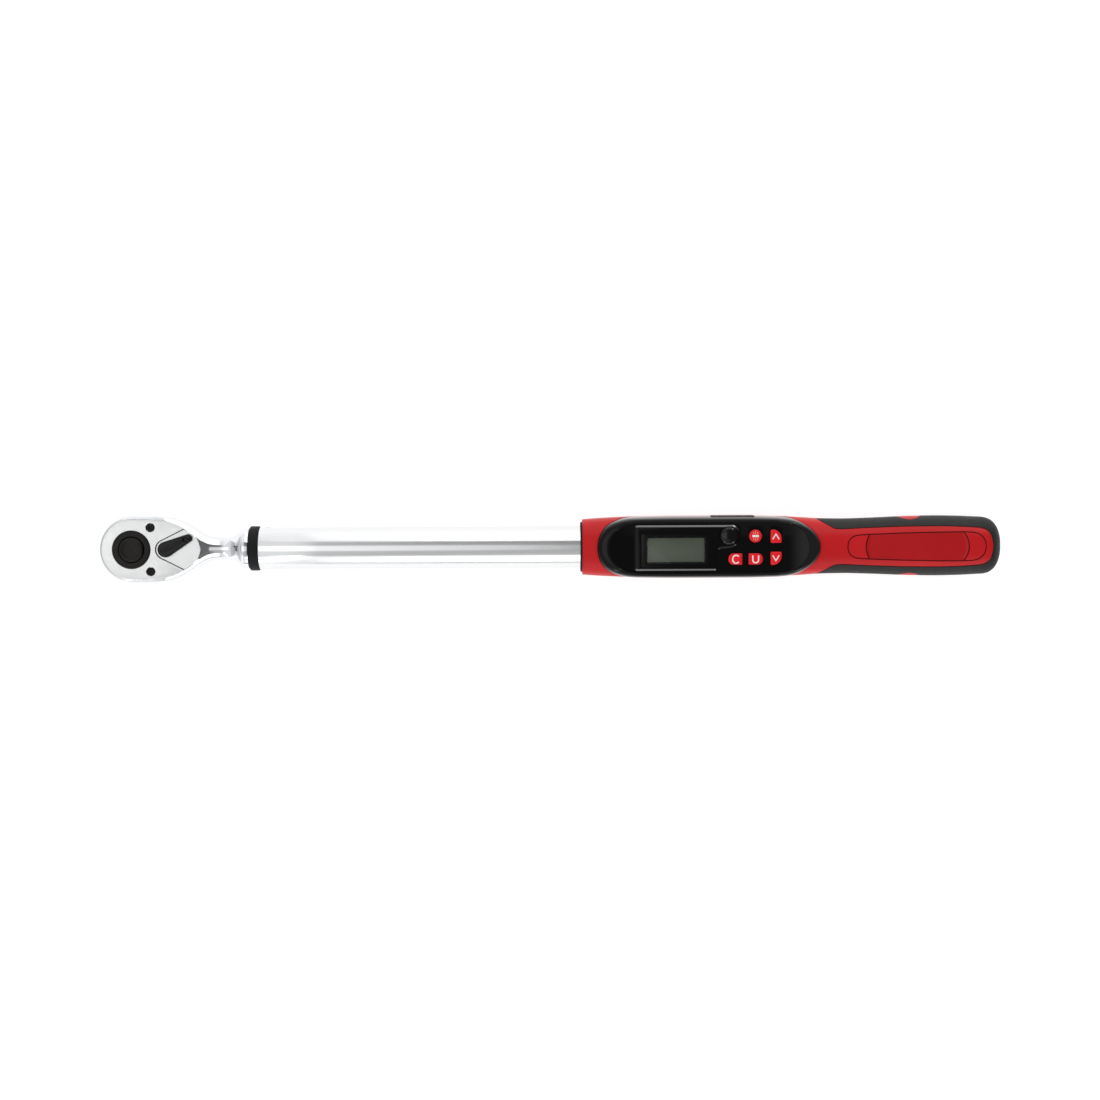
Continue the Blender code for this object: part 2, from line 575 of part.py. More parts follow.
def half_shell(upper, inset=0.0, split=SPLIT, x0=NOSE_X, arc=16, n=BODY_N):
    """Half of the housing's solid, above or below the split line, with its skin moved in by inset."""
    stations = [x for x in (NOSE_X, 276, 285, 295, 310, 330, 355, 380, 395, 405, 416, 427, 438, 450, 465, 480, 493) if x > x0 + 1]
    stations = [x0, *stations]
    span = END_X - inset - ROUND_X
    stations += [ROUND_X + span * t for t in (0.0, 0.3, 0.52, 0.7, 0.83, 0.92, 0.975, 1.0)]
    height = TOP_H if upper else LOW_H
    sign = 1.0 if upper else -1.0
    rings = []
    for x in stations:
        f = end_factor(x, inset)
        w, h = (HALF_W(x) - inset) * f, (height(x) - inset) * f
        ring = []
        for j in range(arc + 1):
            a = math.pi * j / arc
            c, sn = math.cos(a), math.sin(a)
            y = w * math.copysign(abs(c) ** (2 / n) if abs(c) > 1e-9 else 0.0, c)
            z = split + (h - split) * (abs(sn) ** (2 / n) if sn > 1e-9 else 0.0)
            ring.append((x, y, sign * z))
        rings.append(ring)
    return skin(rings)


STRIP = [(409.1, 16.1), (415.3, 12.5), (420.6, 10.7), (436.5, 11.3), (460, 12.1), (484, 12.2), (500, 11.5), (505, 11.0), (507.3, 10.3), (508.9, 9.1), (510.1, 7.4), (511.0, 5.1), (511.6, 2.6), (511.9, 0.0)]


def rubber_plan(grow=0.0):
    """Plan of the soft grip: both sides and the end, outside the red strip. grow widens it."""
    inner = [(x - (grow if x < 420 else 0), y - grow) if y > 6 else (x - grow, y) for x, y in STRIP]
    upper = [(401.0 - grow, 30.0), *inner]
    return [*upper, *[(x, -y) for x, y in reversed(upper[:-1])], (530.0, -30.0), (530.0, 30.0)]


def oval(rx, rz, cx=463.6, steps=20):
    return [(cx + rx * math.cos(2 * math.pi * k / steps), rz * math.sin(2 * math.pi * k / steps)) for k in range(steps)]


# ------------------------------------------------------------------ display bezel outline
OUTER = [(277.1, 0), (277.4, 3.4), (278.2, 6.6), (279.6, 9.4), (281.6, 12.1), (284.6, 14.3), (288.0, 15.9), (292.7, 17.4), (298.0, 18.12)]
OUTER += [(x, HALF_W(x)) for x in (306, 320, 336, 352, 368, 378)]
OUTER += [(386, 17.95), (391.5, 17.2), (396.4, 15.6), (400.4, 13.4), (403.8, 10.9), (406.5, 8.0), (408.4, 4.6), (409.2, 2.2), (409.3, 0)]
INNER = [(283.4, 0), (283.6, 2.6), (284.3, 5.0), (285.6, 7.5), (287.6, 10.0), (290.2, 12.3), (293.4, 14.1), (297.4, 15.2), (302.0, 15.7)]
INNER += [(309, 15.8), (321.5, 15.85), (336, 15.85), (350, 15.85), (364, 15.85), (374, 15.75)]
INNER += [(382, 15.6), (387.5, 15.1), (391.6, 14.1), (395.2, 12.4), (398.2, 10.2), (400.5, 7.4), (402.0, 4.2), (402.6, 2.0), (402.7, 0)]


def both_sides(half):
    return [*half, *[(x, -y) for x, y in reversed(half[1:-1])]]


def body_top(x, y):
    t = min(1.0, abs(y) / HALF_W(x))
    return TOP_H(x) * (1 - t**BODY_N) ** (1 / BODY_N)


def crown(x):
    """Height of the bezel's rim: level over the display, and falling a little towards both ends."""
    if x < 296:
        return PANEL_Z + 0.3 - 0.6 * ((296 - x) / 13) ** 2
    if x > 384:
        return PANEL_Z + 0.3 - 1.0 * ((x - 384) / 19) ** 2
    return PANEL_Z + 0.3


def bezel_solid():
    """The bezel's outer solid: an outline that follows the housing's skin, a rounded shoulder and a flat top."""
    m = 2.3
    rings = [[(x, y, GAP) for x, y in OUTER]]
    for f in (1.0, 0.97, 0.86, 0.62, 0.3, 0.0):
        ring = []
        for (x0, y0), (x1, y1) in zip(OUTER, INNER):
            low, high = max(body_top(x0, y0), GAP + 0.4), crown(x1)
            ring.append((x1 + (x0 - x1) * f, y1 + (y0 - y1) * f, low + (high - low) * (1 - f**m) ** (1 / m)))
        rings.append(ring)
    centre = 343.0
    rings.append([(centre + (x - centre) * 0.992, y * 0.965, crown(x) - 0.3) for x, y in INNER])
    bm = bmesh.new()
    loops = []
    for ring in rings:
        up = [bm.verts.new(place(p)) for p in ring]
        down = [up[0], *[bm.verts.new(place((x, -y, z))) for x, y, z in ring[1:-1]], up[-1]]
        loops.append((up, down))
    for (ua, da), (ub, db) in zip(loops, loops[1:]):
        for k in range(len(ua) - 1):
            bm.faces.new([ua[k], ua[k + 1], ub[k + 1], ub[k]])
            bm.faces.new([da[k + 1], da[k], db[k], db[k + 1]])
    for up, down in (loops[0], loops[-1]):
        for k in range(len(up) - 1):
            corners = []
            for v in (up[k], up[k + 1], down[k + 1], down[k]):
                if v not in corners:
                    corners.append(v)
            bm.faces.new(corners)
    return bm


def core(grow=0.0, low=-2.0):
    """The upper shell's inner deck, which the bezel fits over. grow swells it for the cutter that hollows the bezel."""
    rings = []
    for x in (278.5 - grow, 286, 296, 310, 330, 355, 380, 392, 400, 407.5 + grow):
        w, h = HALF_W(x) - 2.05 + grow, 14.1 + grow
        ring = [(x, w, low)]
        for j in range(1, 12):
            c, sn = math.cos(math.pi * j / 12), math.sin(math.pi * j / 12)
            ring.append((x, w * math.copysign(abs(c) ** (2 / 3.4), c) if j != 6 else 0.0, h * sn ** (2 / 3.4)))
        rings.append([*ring, (x, -w, low)])
    return skin(rings)


# ------------------------------------------------------------------ upper and lower shells with their soft grips
def soft_cutter(upper):
    """What is taken out of a shell for its soft grip: the grip's plan down to the shell's sunk skin, less the side oval."""
    made = helper(prism(rubber_plan(GAP), -0.5 if upper else -40.0, 40.0 if upper else 0.5))
    combine(made, half_shell(upper, RUBBER_T + GAP, -3.0 if upper else -3.0, 395.0), "DIFFERENCE")
    combine(made, prism(oval(7.1, 9.7), -40.0, 40.0, "Y"), "DIFFERENCE")
    return made


def bore():
    """The housing's bore around the tube, with the front seal's wider seat."""
    return lathe([(0, 260.0), (15.3, 260.0), (15.3, 272.3), (BORE_R, 272.3), (BORE_R, 502.4), (0, 502.4)], axis="X", steps=32)


upper_shell = finish(half_shell(True), "upper_shell", RED)
cut(upper_shell, prism(both_sides([(x, y + GAP if y > 1 else y) for x, y in [(OUTER[0][0] - GAP, 0), *OUTER[1:-1], (OUTER[-1][0] + GAP, 0)]]), -5.0, 40.0))
upper_deck = finish(core(0.0, SPLIT), "deck", RED)
combine(upper_shell, upper_deck, "UNION")
cut(
    upper_shell,
    bore(),
    soft_cutter(True),
    box((294.5, -4.0, 8.0), (303.5, 4.0, 20.0)),
    box((383.5, -4.0, 8.0), (392.5, 4.0, 20.0)),
    box((353.2, 9.8, 10.6), (363.2, 25.0, 20.0)),
)

lower_shell = finish(half_shell(False), "lower_shell", RED)
door_outline = rounded_box(DOOR_X0 - GAP, DOOR_X1 + GAP, -DOOR_Y - GAP, DOOR_Y + GAP, 4.3, 3)
cut(
    lower_shell,
    bore(),
    soft_cutter(False),
    prism([(-11.8, 1.0), (-11.8, -8.5), (-9.2, -12.6), (9.2, -12.6), (11.8, -8.5), (11.8, 1.0)], 445.5, 501.0, "X"),
    prism(door_outline, -40.0, -10.0),
)

for k, x in enumerate((289.0, 402.0)):
    cut(lower_shell, lathe([(0, -30), (2.5, -30), (2.5, -14.9), (1.45, -14.9), (1.45, 2), (0, 2)], (x, 0, 0), steps=16))
    cut(tube, rod(1.45, -20.0, -5.0, (x, 0, 0), steps=12))
    screw(f"tube_screw_{k + 1}", (x, 0, -17.0), 2.2, 1.8, 1.15, 6.0, up=False, drive_r=1.0)
for k, y in enumerate((6.0, -6.0)):
    cut(lower_shell, lathe([(0, -30), (2.5, -30), (2.5, -8.0), (1.45, -8.0), (1.45, 2), (0, 2)], (506.3, y, 0), steps=16))
    cut(upper_shell, rod(1.45, -2.0, 6.2, (506.3, y, 0), steps=12))
    screw(f"end_screw_{k + 1}", (506.3, y, -10.1), 2.2, 1.8, 1.15, 15.9, up=False, drive_r=1.0)

for upper, name in ((True, "upper_grip_rubber"), (False, "lower_grip_rubber")):
    soft = finish(half_shell(upper, split=SPLIT), name, RUBBER)
    combine(soft, prism(rubber_plan(), -50.0, 50.0), "INTERSECT")
    cut(soft, half_shell(upper, RUBBER_T, -3.0, 395.0), prism(oval(7.4, 10.0), -40.0, 40.0, "Y"))


# ------------------------------------------------------------------ display bezel and what shows through it
WINDOW_BOX = (302.9, 343.7, -11.7, 8.8)  # x0, x1, y0, y1 of the clear pane
LED_AT = (354.7, 7.0)
POWER_AT = (370.3, 6.85)
LED_ARC = [(LED_AT[0] + 7.0 * math.cos(math.radians(a)), LED_AT[1] + 7.0 * math.sin(math.radians(a))) for a in range(-90, 61, 30)]
FRAME = [(300.3, -13.5), (346.0, -13.5), (347.5, -12.0), (347.5, -4.0), (347.9, -2.2), (349.0, -0.8), (350.6, -0.2), *LED_ARC, (356.0, 13.4), (300.3, 13.4), (298.8, 11.9), (298.8, -12.0)]


def corner_rounded(x0, x1, y0, y1, radii, steps=4):
    """Rectangle with a radius for each corner: +x+y, -x+y, -x-y, +x-y."""
    made = []
    corners = ((x1, y1, -1, -1, 0), (x0, y1, 1, -1, 90), (x0, y0, 1, 1, 180), (x1, y0, -1, 1, 270))
    for (x, y, dx, dy, a0), r in zip(corners, radii):
        for k in range(steps + 1):
            a = math.radians(a0 + 90 * k / steps)
            made.append((x + dx * r + r * math.cos(a), y + dy * r + r * math.sin(a)))
    return made


KEYS = {
    "key_power": [(POWER_AT[0] + 4.0 * math.cos(2 * math.pi * k / 20), POWER_AT[1] + 4.0 * math.sin(2 * math.pi * k / 20)) for k in range(20)],
    "key_up": corner_rounded(378.9, 385.8, 2.6, 10.8, (5.4, 1.2, 0.6, 0.8)),
    "key_down": corner_rounded(378.9, 385.8, -10.5, -2.2, (0.8, 0.6, 1.2, 5.4)),
    "key_clear": corner_rounded(353.9, 362.8, -10.4, -3.2, (0.6, 3.2, 3.2, 0.6)),
    "key_unit": corner_rounded(365.8, 374.9, -10.4, -3.2, (3.2, 0.6, 0.6, 3.2)),
}
KEY_MID = {"key_power": POWER_AT, "key_up": (382.3, 6.7), "key_down": (382.3, -6.4), "key_clear": (358.4, -6.8), "key_unit": (370.3, -6.8)}

bezel = finish(bezel_solid(), "display_bezel", BLACK_GLOSS)
x0, x1, y0, y1 = WINDOW_BOX
join(bezel, prism(FRAME, 19.5, 21.6, bevel=0.3))
cut(
    bezel,
    core(GAP, -6.0),
    prism(offset(both_sides(INNER), -1.4), 12.0, 19.0),
    rod(BORE_R + GAP, 260.0, 420.0, axis="X", steps=32),
    prism(rounded_box(x0 - GAP, x1 + GAP, y0 - GAP, y1 + GAP, 1.3, 2), 19.9, 30.0),
    prism(rounded_box(304.8, 342.0, -10.4, 7.2, 1.0, 2), 16.0, 30.0),
    rod(5.6, 16.0, 30.0, (*LED_AT, 0), steps=24),
    *[prism(offset(outline, 0.25), 16.0, 30.0) for outline in KEYS.values()],
    box((344.5, 17.2, 5.5), (370.4, 30.0, 15.3)),
    box((353.2, 12.0, 10.6), (363.2, 30.0, 14.7)),
)
finish(prism(rounded_box(x0, x1, y0, y1, 1.0, 2), 20.2, 21.4, bevel=0.2), "display_window", WINDOW)
finish(box((303.6, -12.6, 17.3), (343.2, 11.2, 18.7)), "lcd_panel", LCD)
finish(box((303.8, -12.2, 16.1), (343.0, 8.0, 17.0)), "backlight_panel", WHITE)
finish(box((305.0, 8.6, 16.1), (342.0, 10.8, 17.0)), "lcd_connector_strip", SILICONE)
finish(
    lathe([(0, 18.0), (6.2, 18.0), (6.2, 18.7), (5.3, 18.7), (5.3, 21.6), (4.6, 22.2), (3.0, 22.6), (0, 22.7)], (*LED_AT, 0), steps=24),
    "led_lens",
    SMOKE,
)
finish(lathe([(0, 16.1), (1.6, 16.1), (1.6, 16.9), (1.1, 17.5), (0, 17.7)], (*LED_AT, 0), steps=12), "indicator_led", WHITE)
board_plan = offset(both_sides(INNER), -1.9)
finish(prism(board_plan, 14.6, 15.8), "main_board", BOARD)
finish(box((345.0, -6.0, 16.1), (351.5, 3.0, 17.4)), "controller_chip", BLACK_GLOSS)
finish(rod(4.5, 16.1, 18.6, (297.9, 0, 0), steps=20, chamfer=0.3), "buzzer", BLACK_GLOSS)
mat_plan = [(352.2, -12.2), (388.0, -12.2), (388.0, 12.2), (364.0, 12.2), (364.0, -0.6), (352.2, -0.6)]
finish(prism(mat_plan, 16.1, 17.1), "keypad_mat", SILICONE)
for name, outline in KEYS.items():
    mx, my = KEY_MID[name]
    rings = [[(u, v, z) for u, v in offset(outline, grow)] for grow, z in ((0.7, 18.0), (0.7, 18.7), (0.0, 18.7), (0.0, 21.15), (-0.3, 21.4))]
    finish(skin(rings), name, KEY_RED, origin=(mx, my, 21.4))

# data port behind its side flap
port = finish(box((353.6, 10.2, 11.0), (362.8, 16.7, 14.3)), "data_port", NICKEL)
cut(port, box((354.6, 11.6, 11.8), (361.8, 20.0, 13.6)))
FLAP_AXIS = (357.5, 18.2, 14.5)
flap_profile = [(17.5, 5.8), (18.7, 5.8), (19.0, 6.2), (18.98, 9.0), (18.78, 12.0), (18.55, 14.2), (18.35, 14.85), (18.0, 14.95), (17.5, 14.8)]
flap = finish(prism(flap_profile, 344.8, 370.1, "X"), "port_cover", RUBBER, origin=FLAP_AXIS)
plug = finish(box((355.4, 16.3, 12.1), (361.0, 17.9, 13.3)), "plug", RUBBER)
combine(flap, plug, "UNION")

# ------------------------------------------------------------------ battery bay in the grip
CELL_Y, CELL_Z, CELL_R = 5.5, -5.6, 5.25
tray = finish(
    prism([(-11.5, -8.4), (-11.5, -1.4), (-9.8, -1.4), (-9.8, 0.9), (9.8, 0.9), (9.8, -1.4), (11.5, -1.4), (11.5, -8.4)], 446.4, 500.1, "X"),
    "battery_tray",
    RUBBER,
)
cut(
    tray,
    rod(5.55, 447.4, 499.1, (0, CELL_Y, CELL_Z), "X", steps=24),
    rod(5.55, 447.4, 499.1, (0, -CELL_Y, CELL_Z), "X", steps=24),
    box((447.4, -11.05, -12.0), (499.1, 11.05, CELL_Z)),
    box((498.2, -9.6, -12.0), (499.1, 9.6, -1.6)),
)
for name, side, back, tip in (("battery_1", 1, 453.8, 498.2), ("battery_2", -1, 492.7, 448.2)):
    d = 1 if tip > back else -1
    finish(
        lathe([(0, back), (4.9, back), (CELL_R, back + 0.4 * d), (CELL_R, tip - 1.3 * d), (4.8, tip - 0.9 * d), (1.9, tip - 0.9 * d), (1.9, tip), (0, tip)], (0, side * CELL_Y, CELL_Z), "X", 20),
        name,
        CELL,
    )
finish(sweep(helix((447.8, CELL_Y, CELL_Z), "X", 3.4, 1.8, 5.4, 3.0, 8), 0.3, 5), "battery_spring_1", NICKEL)
finish(sweep(helix((498.0, -CELL_Y, CELL_Z), "X", 3.4, 1.8, -4.6, 3.0, 8), 0.3, 5), "battery_spring_2", NICKEL)
finish(box((498.5, -9.3, -9.6), (498.8, 9.3, -2.0)), "bridge_contact", NICKEL)
finish(box((447.6, -8.5, -8.6), (447.9, -2.5, -2.6)), "positive_contact", NICKEL)
for name, side in (("battery_lead_red", -1), ("battery_lead_black", 1)):
    finish(
        sweep(smooth_path([(445.9, side * 5.0, -3.0), (436, side * 4.4, 0), (420, side * 3.0, 4.0), (402, side * 1.6, 6.5), (391, side * 1.5, 8.0), (387.8, side * 1.5, 10.5), (387.6, side * 1.5, 14.25)], 3), 0.6, 6),
        name,
        LEAD,
    )

DOOR_AXIS = (447.6, 0.0, -17.2)
door = finish(half_shell(False, 0.0, x0=440.0), "battery_door", RED, origin=DOOR_AXIS)
combine(door, prism(rounded_box(DOOR_X0, DOOR_X1, -DOOR_Y, DOOR_Y, 4.0, 3), -50.0, 0.0), "INTERSECT")
cut(
    door,
    box((440.0, -20.0, -15.6), (459.0, 20.0, 5.0)),
    box((461.0, -20.0, -15.6), (484.0, 20.0, 5.0)),
    box((486.0, -20.0, -15.6), (510.0, 20.0, 5.0)),
    box((440.0, -20.0, -11.6), (510.0, 20.0, 5.0)),
    box((440.0, 8.6, -15.6), (510.0, 20.0, 5.0)),
    box((440.0, -20.0, -15.6), (510.0, -8.6, 5.0)),
)
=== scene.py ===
"""Looks of the digital torque wrench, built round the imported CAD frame.

Builder functions take millimetres, with heights measured from the tube's centreline. place() turns them into metres in
the row's frame.
"""

import math

import bmesh
import bpy
from mathutils import Matrix, Vector


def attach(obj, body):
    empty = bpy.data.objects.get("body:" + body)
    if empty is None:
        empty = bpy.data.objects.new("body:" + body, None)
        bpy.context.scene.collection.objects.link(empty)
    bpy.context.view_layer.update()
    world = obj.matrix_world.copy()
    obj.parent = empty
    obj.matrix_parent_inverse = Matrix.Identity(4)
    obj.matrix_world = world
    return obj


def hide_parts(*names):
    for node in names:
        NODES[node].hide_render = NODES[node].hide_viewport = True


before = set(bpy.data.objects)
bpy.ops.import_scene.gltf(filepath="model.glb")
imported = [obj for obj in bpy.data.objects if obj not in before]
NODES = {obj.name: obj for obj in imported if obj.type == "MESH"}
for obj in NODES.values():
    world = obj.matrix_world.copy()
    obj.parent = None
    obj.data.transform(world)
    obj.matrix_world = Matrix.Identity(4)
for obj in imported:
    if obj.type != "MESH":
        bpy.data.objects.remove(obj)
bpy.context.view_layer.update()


# ------------------------------------------------------------------ driving dimensions, mm
AXIS_H = 28.5  # tube centreline above the end of the drive square
SQUARE = 12.7  # half-inch square drive, across flats
SQUARE_TOP = -13.0  # where the square meets the gear's lower collar
HEAD_R = 20.5  # round end of the ratchet head
HEAD_T = 12.0  # half thickness of the head over its flat faces
COVER_T = 2.7  # thickness of the head's cover plate
POCKET_Z = HEAD_T - COVER_T - 0.3  # floor of the pocket that holds the cover plate
CHAMBER_R = 14.6
TEETH = 36
TIP_R, ROOT_R = 14.2, 13.1
HUB_R = 11.3
LEVER_X = 20.3  # reversing spindle's axis
LEVER_REST = 26.2  # degrees, towards +Y
PAWL_REST = -4.7  # degrees
BUTTON_R, STEM_R = 7.3, 2.4
BUTTON_TRAVEL = 2.5
BALL_R, BALL_X, BALL_TRAVEL = 2.2, 4.95, 1.1
BALL_Z = SQUARE_TOP - 7.75
SCREW_X, SCREW_Y = 11.4, 13.1
TUBE_R, TUBE_WALL = 12.8, 2.2
TUBE_X0, TUBE_X1 = 75.2, 502.0
BORE_R = 13.1  # bore of the housing around the tube
NOSE_X, END_X = 268.3, 518.7
RUBBER_T = 1.5
SPLIT = 0.15  # half of the gap between the upper and the lower shell
GAP = 0.3  # clearance between pieces that touch
PANEL_Z = 20.8  # flat top of the display bezel
DOOR_X0, DOOR_X1, DOOR_Y = 447.0, 499.5, 10.4


def place(point):
    x, y, z = point
    return Vector((x, y, z + AXIS_H)) * 0.001


def skin(rings, caps=True, closed=False):
    """bmesh through rings of points in millimetres, each ring a closed loop with the same number of points."""
    bm = bmesh.new()
    rows = [[bm.verts.new(place(p)) for p in ring] for ring in rings]
    count = len(rows[0])
    pairs = list(zip(rows, rows[1:]))
    if closed:
        pairs.append((rows[-1], rows[0]))
    for a, b in pairs:
        for k in range(count):
            n = (k + 1) % count
            quad = [a[k], a[n], b[n], b[k]]
            if len({tuple(round(c, 7) for c in v.co) for v in quad}) > 2:
                bm.faces.new(quad)
    if caps and not closed:
        bm.faces.new(rows[0])
        bm.faces.new(rows[-1])
    return bm


def lathe(profile, centre=(0, 0, 0), axis="Z", steps=32):
    """Surface of revolution of (radius, height) points. It is closed by the axis where the profile ends on it, and is
    otherwise a ring whose profile closes on itself."""
    bm = bmesh.new()
    cx, cy, cz = centre
    on_axis = profile[0][0] == 0 and profile[-1][0] == 0

    def point(r, h, a):
        u, v = r * math.cos(a), r * math.sin(a)
        return {"Z": (cx + u, cy + v, cz + h), "X": (cx + h, cy + u, cz + v), "Y": (cx + u, cy + h, cz + v)}[axis]

    rows = []
    for r, h in profile:
        if r == 0:
            rows.append([bm.verts.new(place(point(0, h, 0)))] * steps)
        else:
            rows.append([bm.verts.new(place(point(r, h, 2 * math.pi * k / steps))) for k in range(steps)])
    pairs = list(zip(rows, rows[1:]))
    if not on_axis:
        pairs.append((rows[-1], rows[0]))
    for a, b in pairs:
        for k in range(steps):
            n = (k + 1) % steps
            corners = []
            for v in (a[k], a[n], b[n], b[k]):
                if v not in corners:
                    corners.append(v)
            if len(corners) > 2:
                bm.faces.new(corners)
    return bm


def rod(r, h0, h1, centre=(0, 0, 0), axis="Z", steps=24, chamfer=0.0):
    """Solid cylinder from h0 to h1 along an axis through centre."""
    if chamfer:
        profile = [(0, h0), (r - chamfer, h0), (r, h0 + chamfer), (r, h1 - chamfer), (r - chamfer, h1), (0, h1)]
    else:
        profile = [(0, h0), (r, h0), (r, h1), (0, h1)]
    return lathe(profile, centre, axis, steps)


def prism(outline, low, high, axis="Z", bevel=0.0):
    """Outline of (u, v) points extruded from low to high. u, v are X, Y for axis Z, X, Z for axis Y and Y, Z for axis X.
    A bevel insets the end at high."""

    def at(u, v, w):
        return {"Z": (u, v, w), "Y": (u, w, v), "X": (w, u, v)}[axis]

    levels = [(outline, low), (outline, high - bevel if bevel else high)]
    if bevel:
        levels.append((offset(outline, -bevel), high))
    return skin([[at(u, v, w) for u, v in loop] for loop, w in levels])


def box(lo, hi):
    return prism([(lo[0], lo[1]), (hi[0], lo[1]), (hi[0], hi[1]), (lo[0], hi[1])], lo[2], hi[2])


def offset(outline, distance):
    """The outline with each corner moved out by distance, or in where it is negative."""
    n = len(outline)
    area = sum(outline[k][0] * outline[(k + 1) % n][1] - outline[(k + 1) % n][0] * outline[k][1] for k in range(n))
    sign = 1.0 if area > 0 else -1.0
    moved = []
    for k in range(n):
        p, q, r = Vector(outline[k - 1]), Vector(outline[k]), Vector(outline[(k + 1) % n])
        d0, d1 = (q - p).normalized(), (r - q).normalized()
        n0, n1 = Vector((d0.y, -d0.x)) * sign, Vector((d1.y, -d1.x)) * sign
        mid = (n0 + n1).normalized()
        moved.append(tuple(q + mid * (distance / max(0.35, mid.dot(n0)))))
    return moved


def rounded_box(x0, x1, y0, y1, r, steps=4):
    """Outline of a rectangle with round corners."""
    made = []
    for cx, cy, a0 in ((x1 - r, y1 - r, 0), (x0 + r, y1 - r, 90), (x0 + r, y0 + r, 180), (x1 - r, y0 + r, 270)):
        for k in range(steps + 1):
            a = math.radians(a0 + 90 * k / steps)
            made.append((cx + r * math.cos(a), cy + r * math.sin(a)))
    return made


def sweep(points, radius, sides=8):
    """Round bar along points in millimetres, with flat ends."""
    path = [Vector(p) for p in points]
    rings = []
    up = None
    for k, p in enumerate(path):
        d = (path[min(k + 1, len(path) - 1)] - path[max(k - 1, 0)]).normalized()
        if up is None:
            up = d.orthogonal().normalized()
        up = (up - d * up.dot(d)).normalized()
        side = d.cross(up)
        rings.append(
            [p + (up * math.cos(2 * math.pi * j / sides) + side * math.sin(2 * math.pi * j / sides)) * radius for j in range(sides)]
        )
    return skin(rings)


def helix(centre, axis, r0, r1, length, turns, per_turn=12):
    """Points of a coil that starts at centre, runs length along an axis and goes from radius r0 to r1."""
    total = int(turns * per_turn)
    made = []
    for k in range(total + 1):
        t = k / total
        a = 2 * math.pi * turns * t
        r = r0 + (r1 - r0) * t
        u, v, h = r * math.cos(a), r * math.sin(a), length * t
        x, y, z = {"Z": (u, v, h), "X": (h, u, v)}[axis]
        made.append((centre[0] + x, centre[1] + y, centre[2] + z))
    return made


def smooth_path(points, per_span=6):
    """Catmull-Rom curve through the points."""
    pts = [Vector(p) for p in points]
    pts = [2 * pts[0] - pts[1], *pts, 2 * pts[-1] - pts[-2]]
    made = []
    for k in range(1, len(pts) - 2):
        a, b, c, d = pts[k - 1 : k + 3]
        for j in range(per_span):
            t = j / per_span
            made.append(0.5 * (2 * b + (c - a) * t + (2 * a - 5 * b + 4 * c - d) * t**2 + (3 * b - a - 3 * c + d) * t**3))
    made.append(pts[-2])
    return made


def table(rows):
    """Smooth function through (x, value) rows."""
    xs, vs = [r[0] for r in rows], [r[1] for r in rows]
    n = len(xs)
    secants = [(vs[k + 1] - vs[k]) / (xs[k + 1] - xs[k]) for k in range(n - 1)]
    slopes = [secants[0]]
    for k in range(1, n - 1):
        a, b = secants[k - 1], secants[k]
        slopes.append(0.0 if a * b <= 0 else 2 * a * b / (a + b))
    slopes.append(secants[-1])

    def value(x):
        if x <= xs[0]:
            return vs[0]
        if x >= xs[-1]:
            return vs[-1]
        k = max(j for j in range(n) if xs[j] <= x)
        h = xs[k + 1] - xs[k]
        t = (x - xs[k]) / h
        return (
            vs[k] * (2 * t**3 - 3 * t**2 + 1)
            + slopes[k] * h * (t**3 - 2 * t**2 + t)
            + vs[k + 1] * (-2 * t**3 + 3 * t**2)
            + slopes[k + 1] * h * (t**3 - t**2)
        )

    return value


HEAD_W = table([(0, 20.5), (12, 20.5), (18, 20.1), (22, 19.4), (26, 18.4), (30, 17.0), (34, 15.1), (38, 12.6), (42, 9.7), (46, 7.7), (50, 7.0), (54, 6.8), (58, 7.5), (61, 9.1), (63.5, 11.3), (66, 12.2)])


HEAD_H = table([(0, 11.6), (18, 11.6), (22, 11.5), (26, 11.3), (30, 11.0), (34, 10.4), (38, 9.4), (42, 8.4), (46, 7.6), (50, 7.1), (54, 6.9), (58, 7.5), (61, 9.1), (63.5, 11.3), (66, 12.2)])


HEAD_N = table([(0, 6.0), (22, 6.0), (26, 5.0), (30, 4.2), (34, 3.4), (38, 2.8), (42, 2.4), (46, 2.1), (54, 2.0), (66, 2.0)])


FACE_W = table([(0, 17.9), (6, 17.9), (12, 17.7), (17, 17.2), (20.3, 16.7), (22.5, 16.0), (26, 14.6), (29.8, 12.7), (33, 11.0), (35.2, 9.6), (38.1, 6.9), (40.0, 4.0), (41.0, 0.0)])


def face_outline(steps=9):
    """Pear-shaped outline of the head's flat faces."""
    side = [(-17.9 * math.cos(math.radians(90 * k / steps)), 17.9 * math.sin(math.radians(90 * k / steps))) for k in range(steps)]
    side += [(x, FACE_W(x)) for x in (0, 6, 12, 17, 20.3, 22.5, 26, 29.8, 33, 35.2, 38.1, 40.0, 41.0)]
    return side + [(x, -y) for x, y in reversed(side[1:-1])]


HALF_W = table([(268.3, 16.6), (276, 17.2), (290, 17.9), (305, 18.4), (325, 18.65), (365, 18.65), (383, 18.2), (398, 17.4), (411, 16.6), (425, 16.4), (437, 16.7), (450, 17.2), (465, 17.8), (480, 18.0), (495, 17.7), (507, 17.2), (519, 17.2)])


TOP_H = table([(268.3, 16.3), (290, 16.8), (340, 17.0), (400, 16.7), (425, 16.3), (440, 16.7), (460, 17.4), (480, 17.8), (500, 17.3), (507, 16.9), (519, 16.9)])


LOW_H = table([(268.3, 16.3), (290, 17.0), (340, 17.6), (400, 17.2), (425, 16.9), (440, 17.3), (460, 18.2), (480, 18.6), (500, 18.0), (507, 17.4), (519, 17.4)])


BODY_N = 2.5


ROUND_X = 504.5


def end_factor(x, inset=0.0):
    if x <= ROUND_X:
        return 1.0
    t = min(1.0, (x - ROUND_X) / (END_X - inset - ROUND_X))
    return max(0.16, math.sqrt(max(0.0, 1 - t**3)))


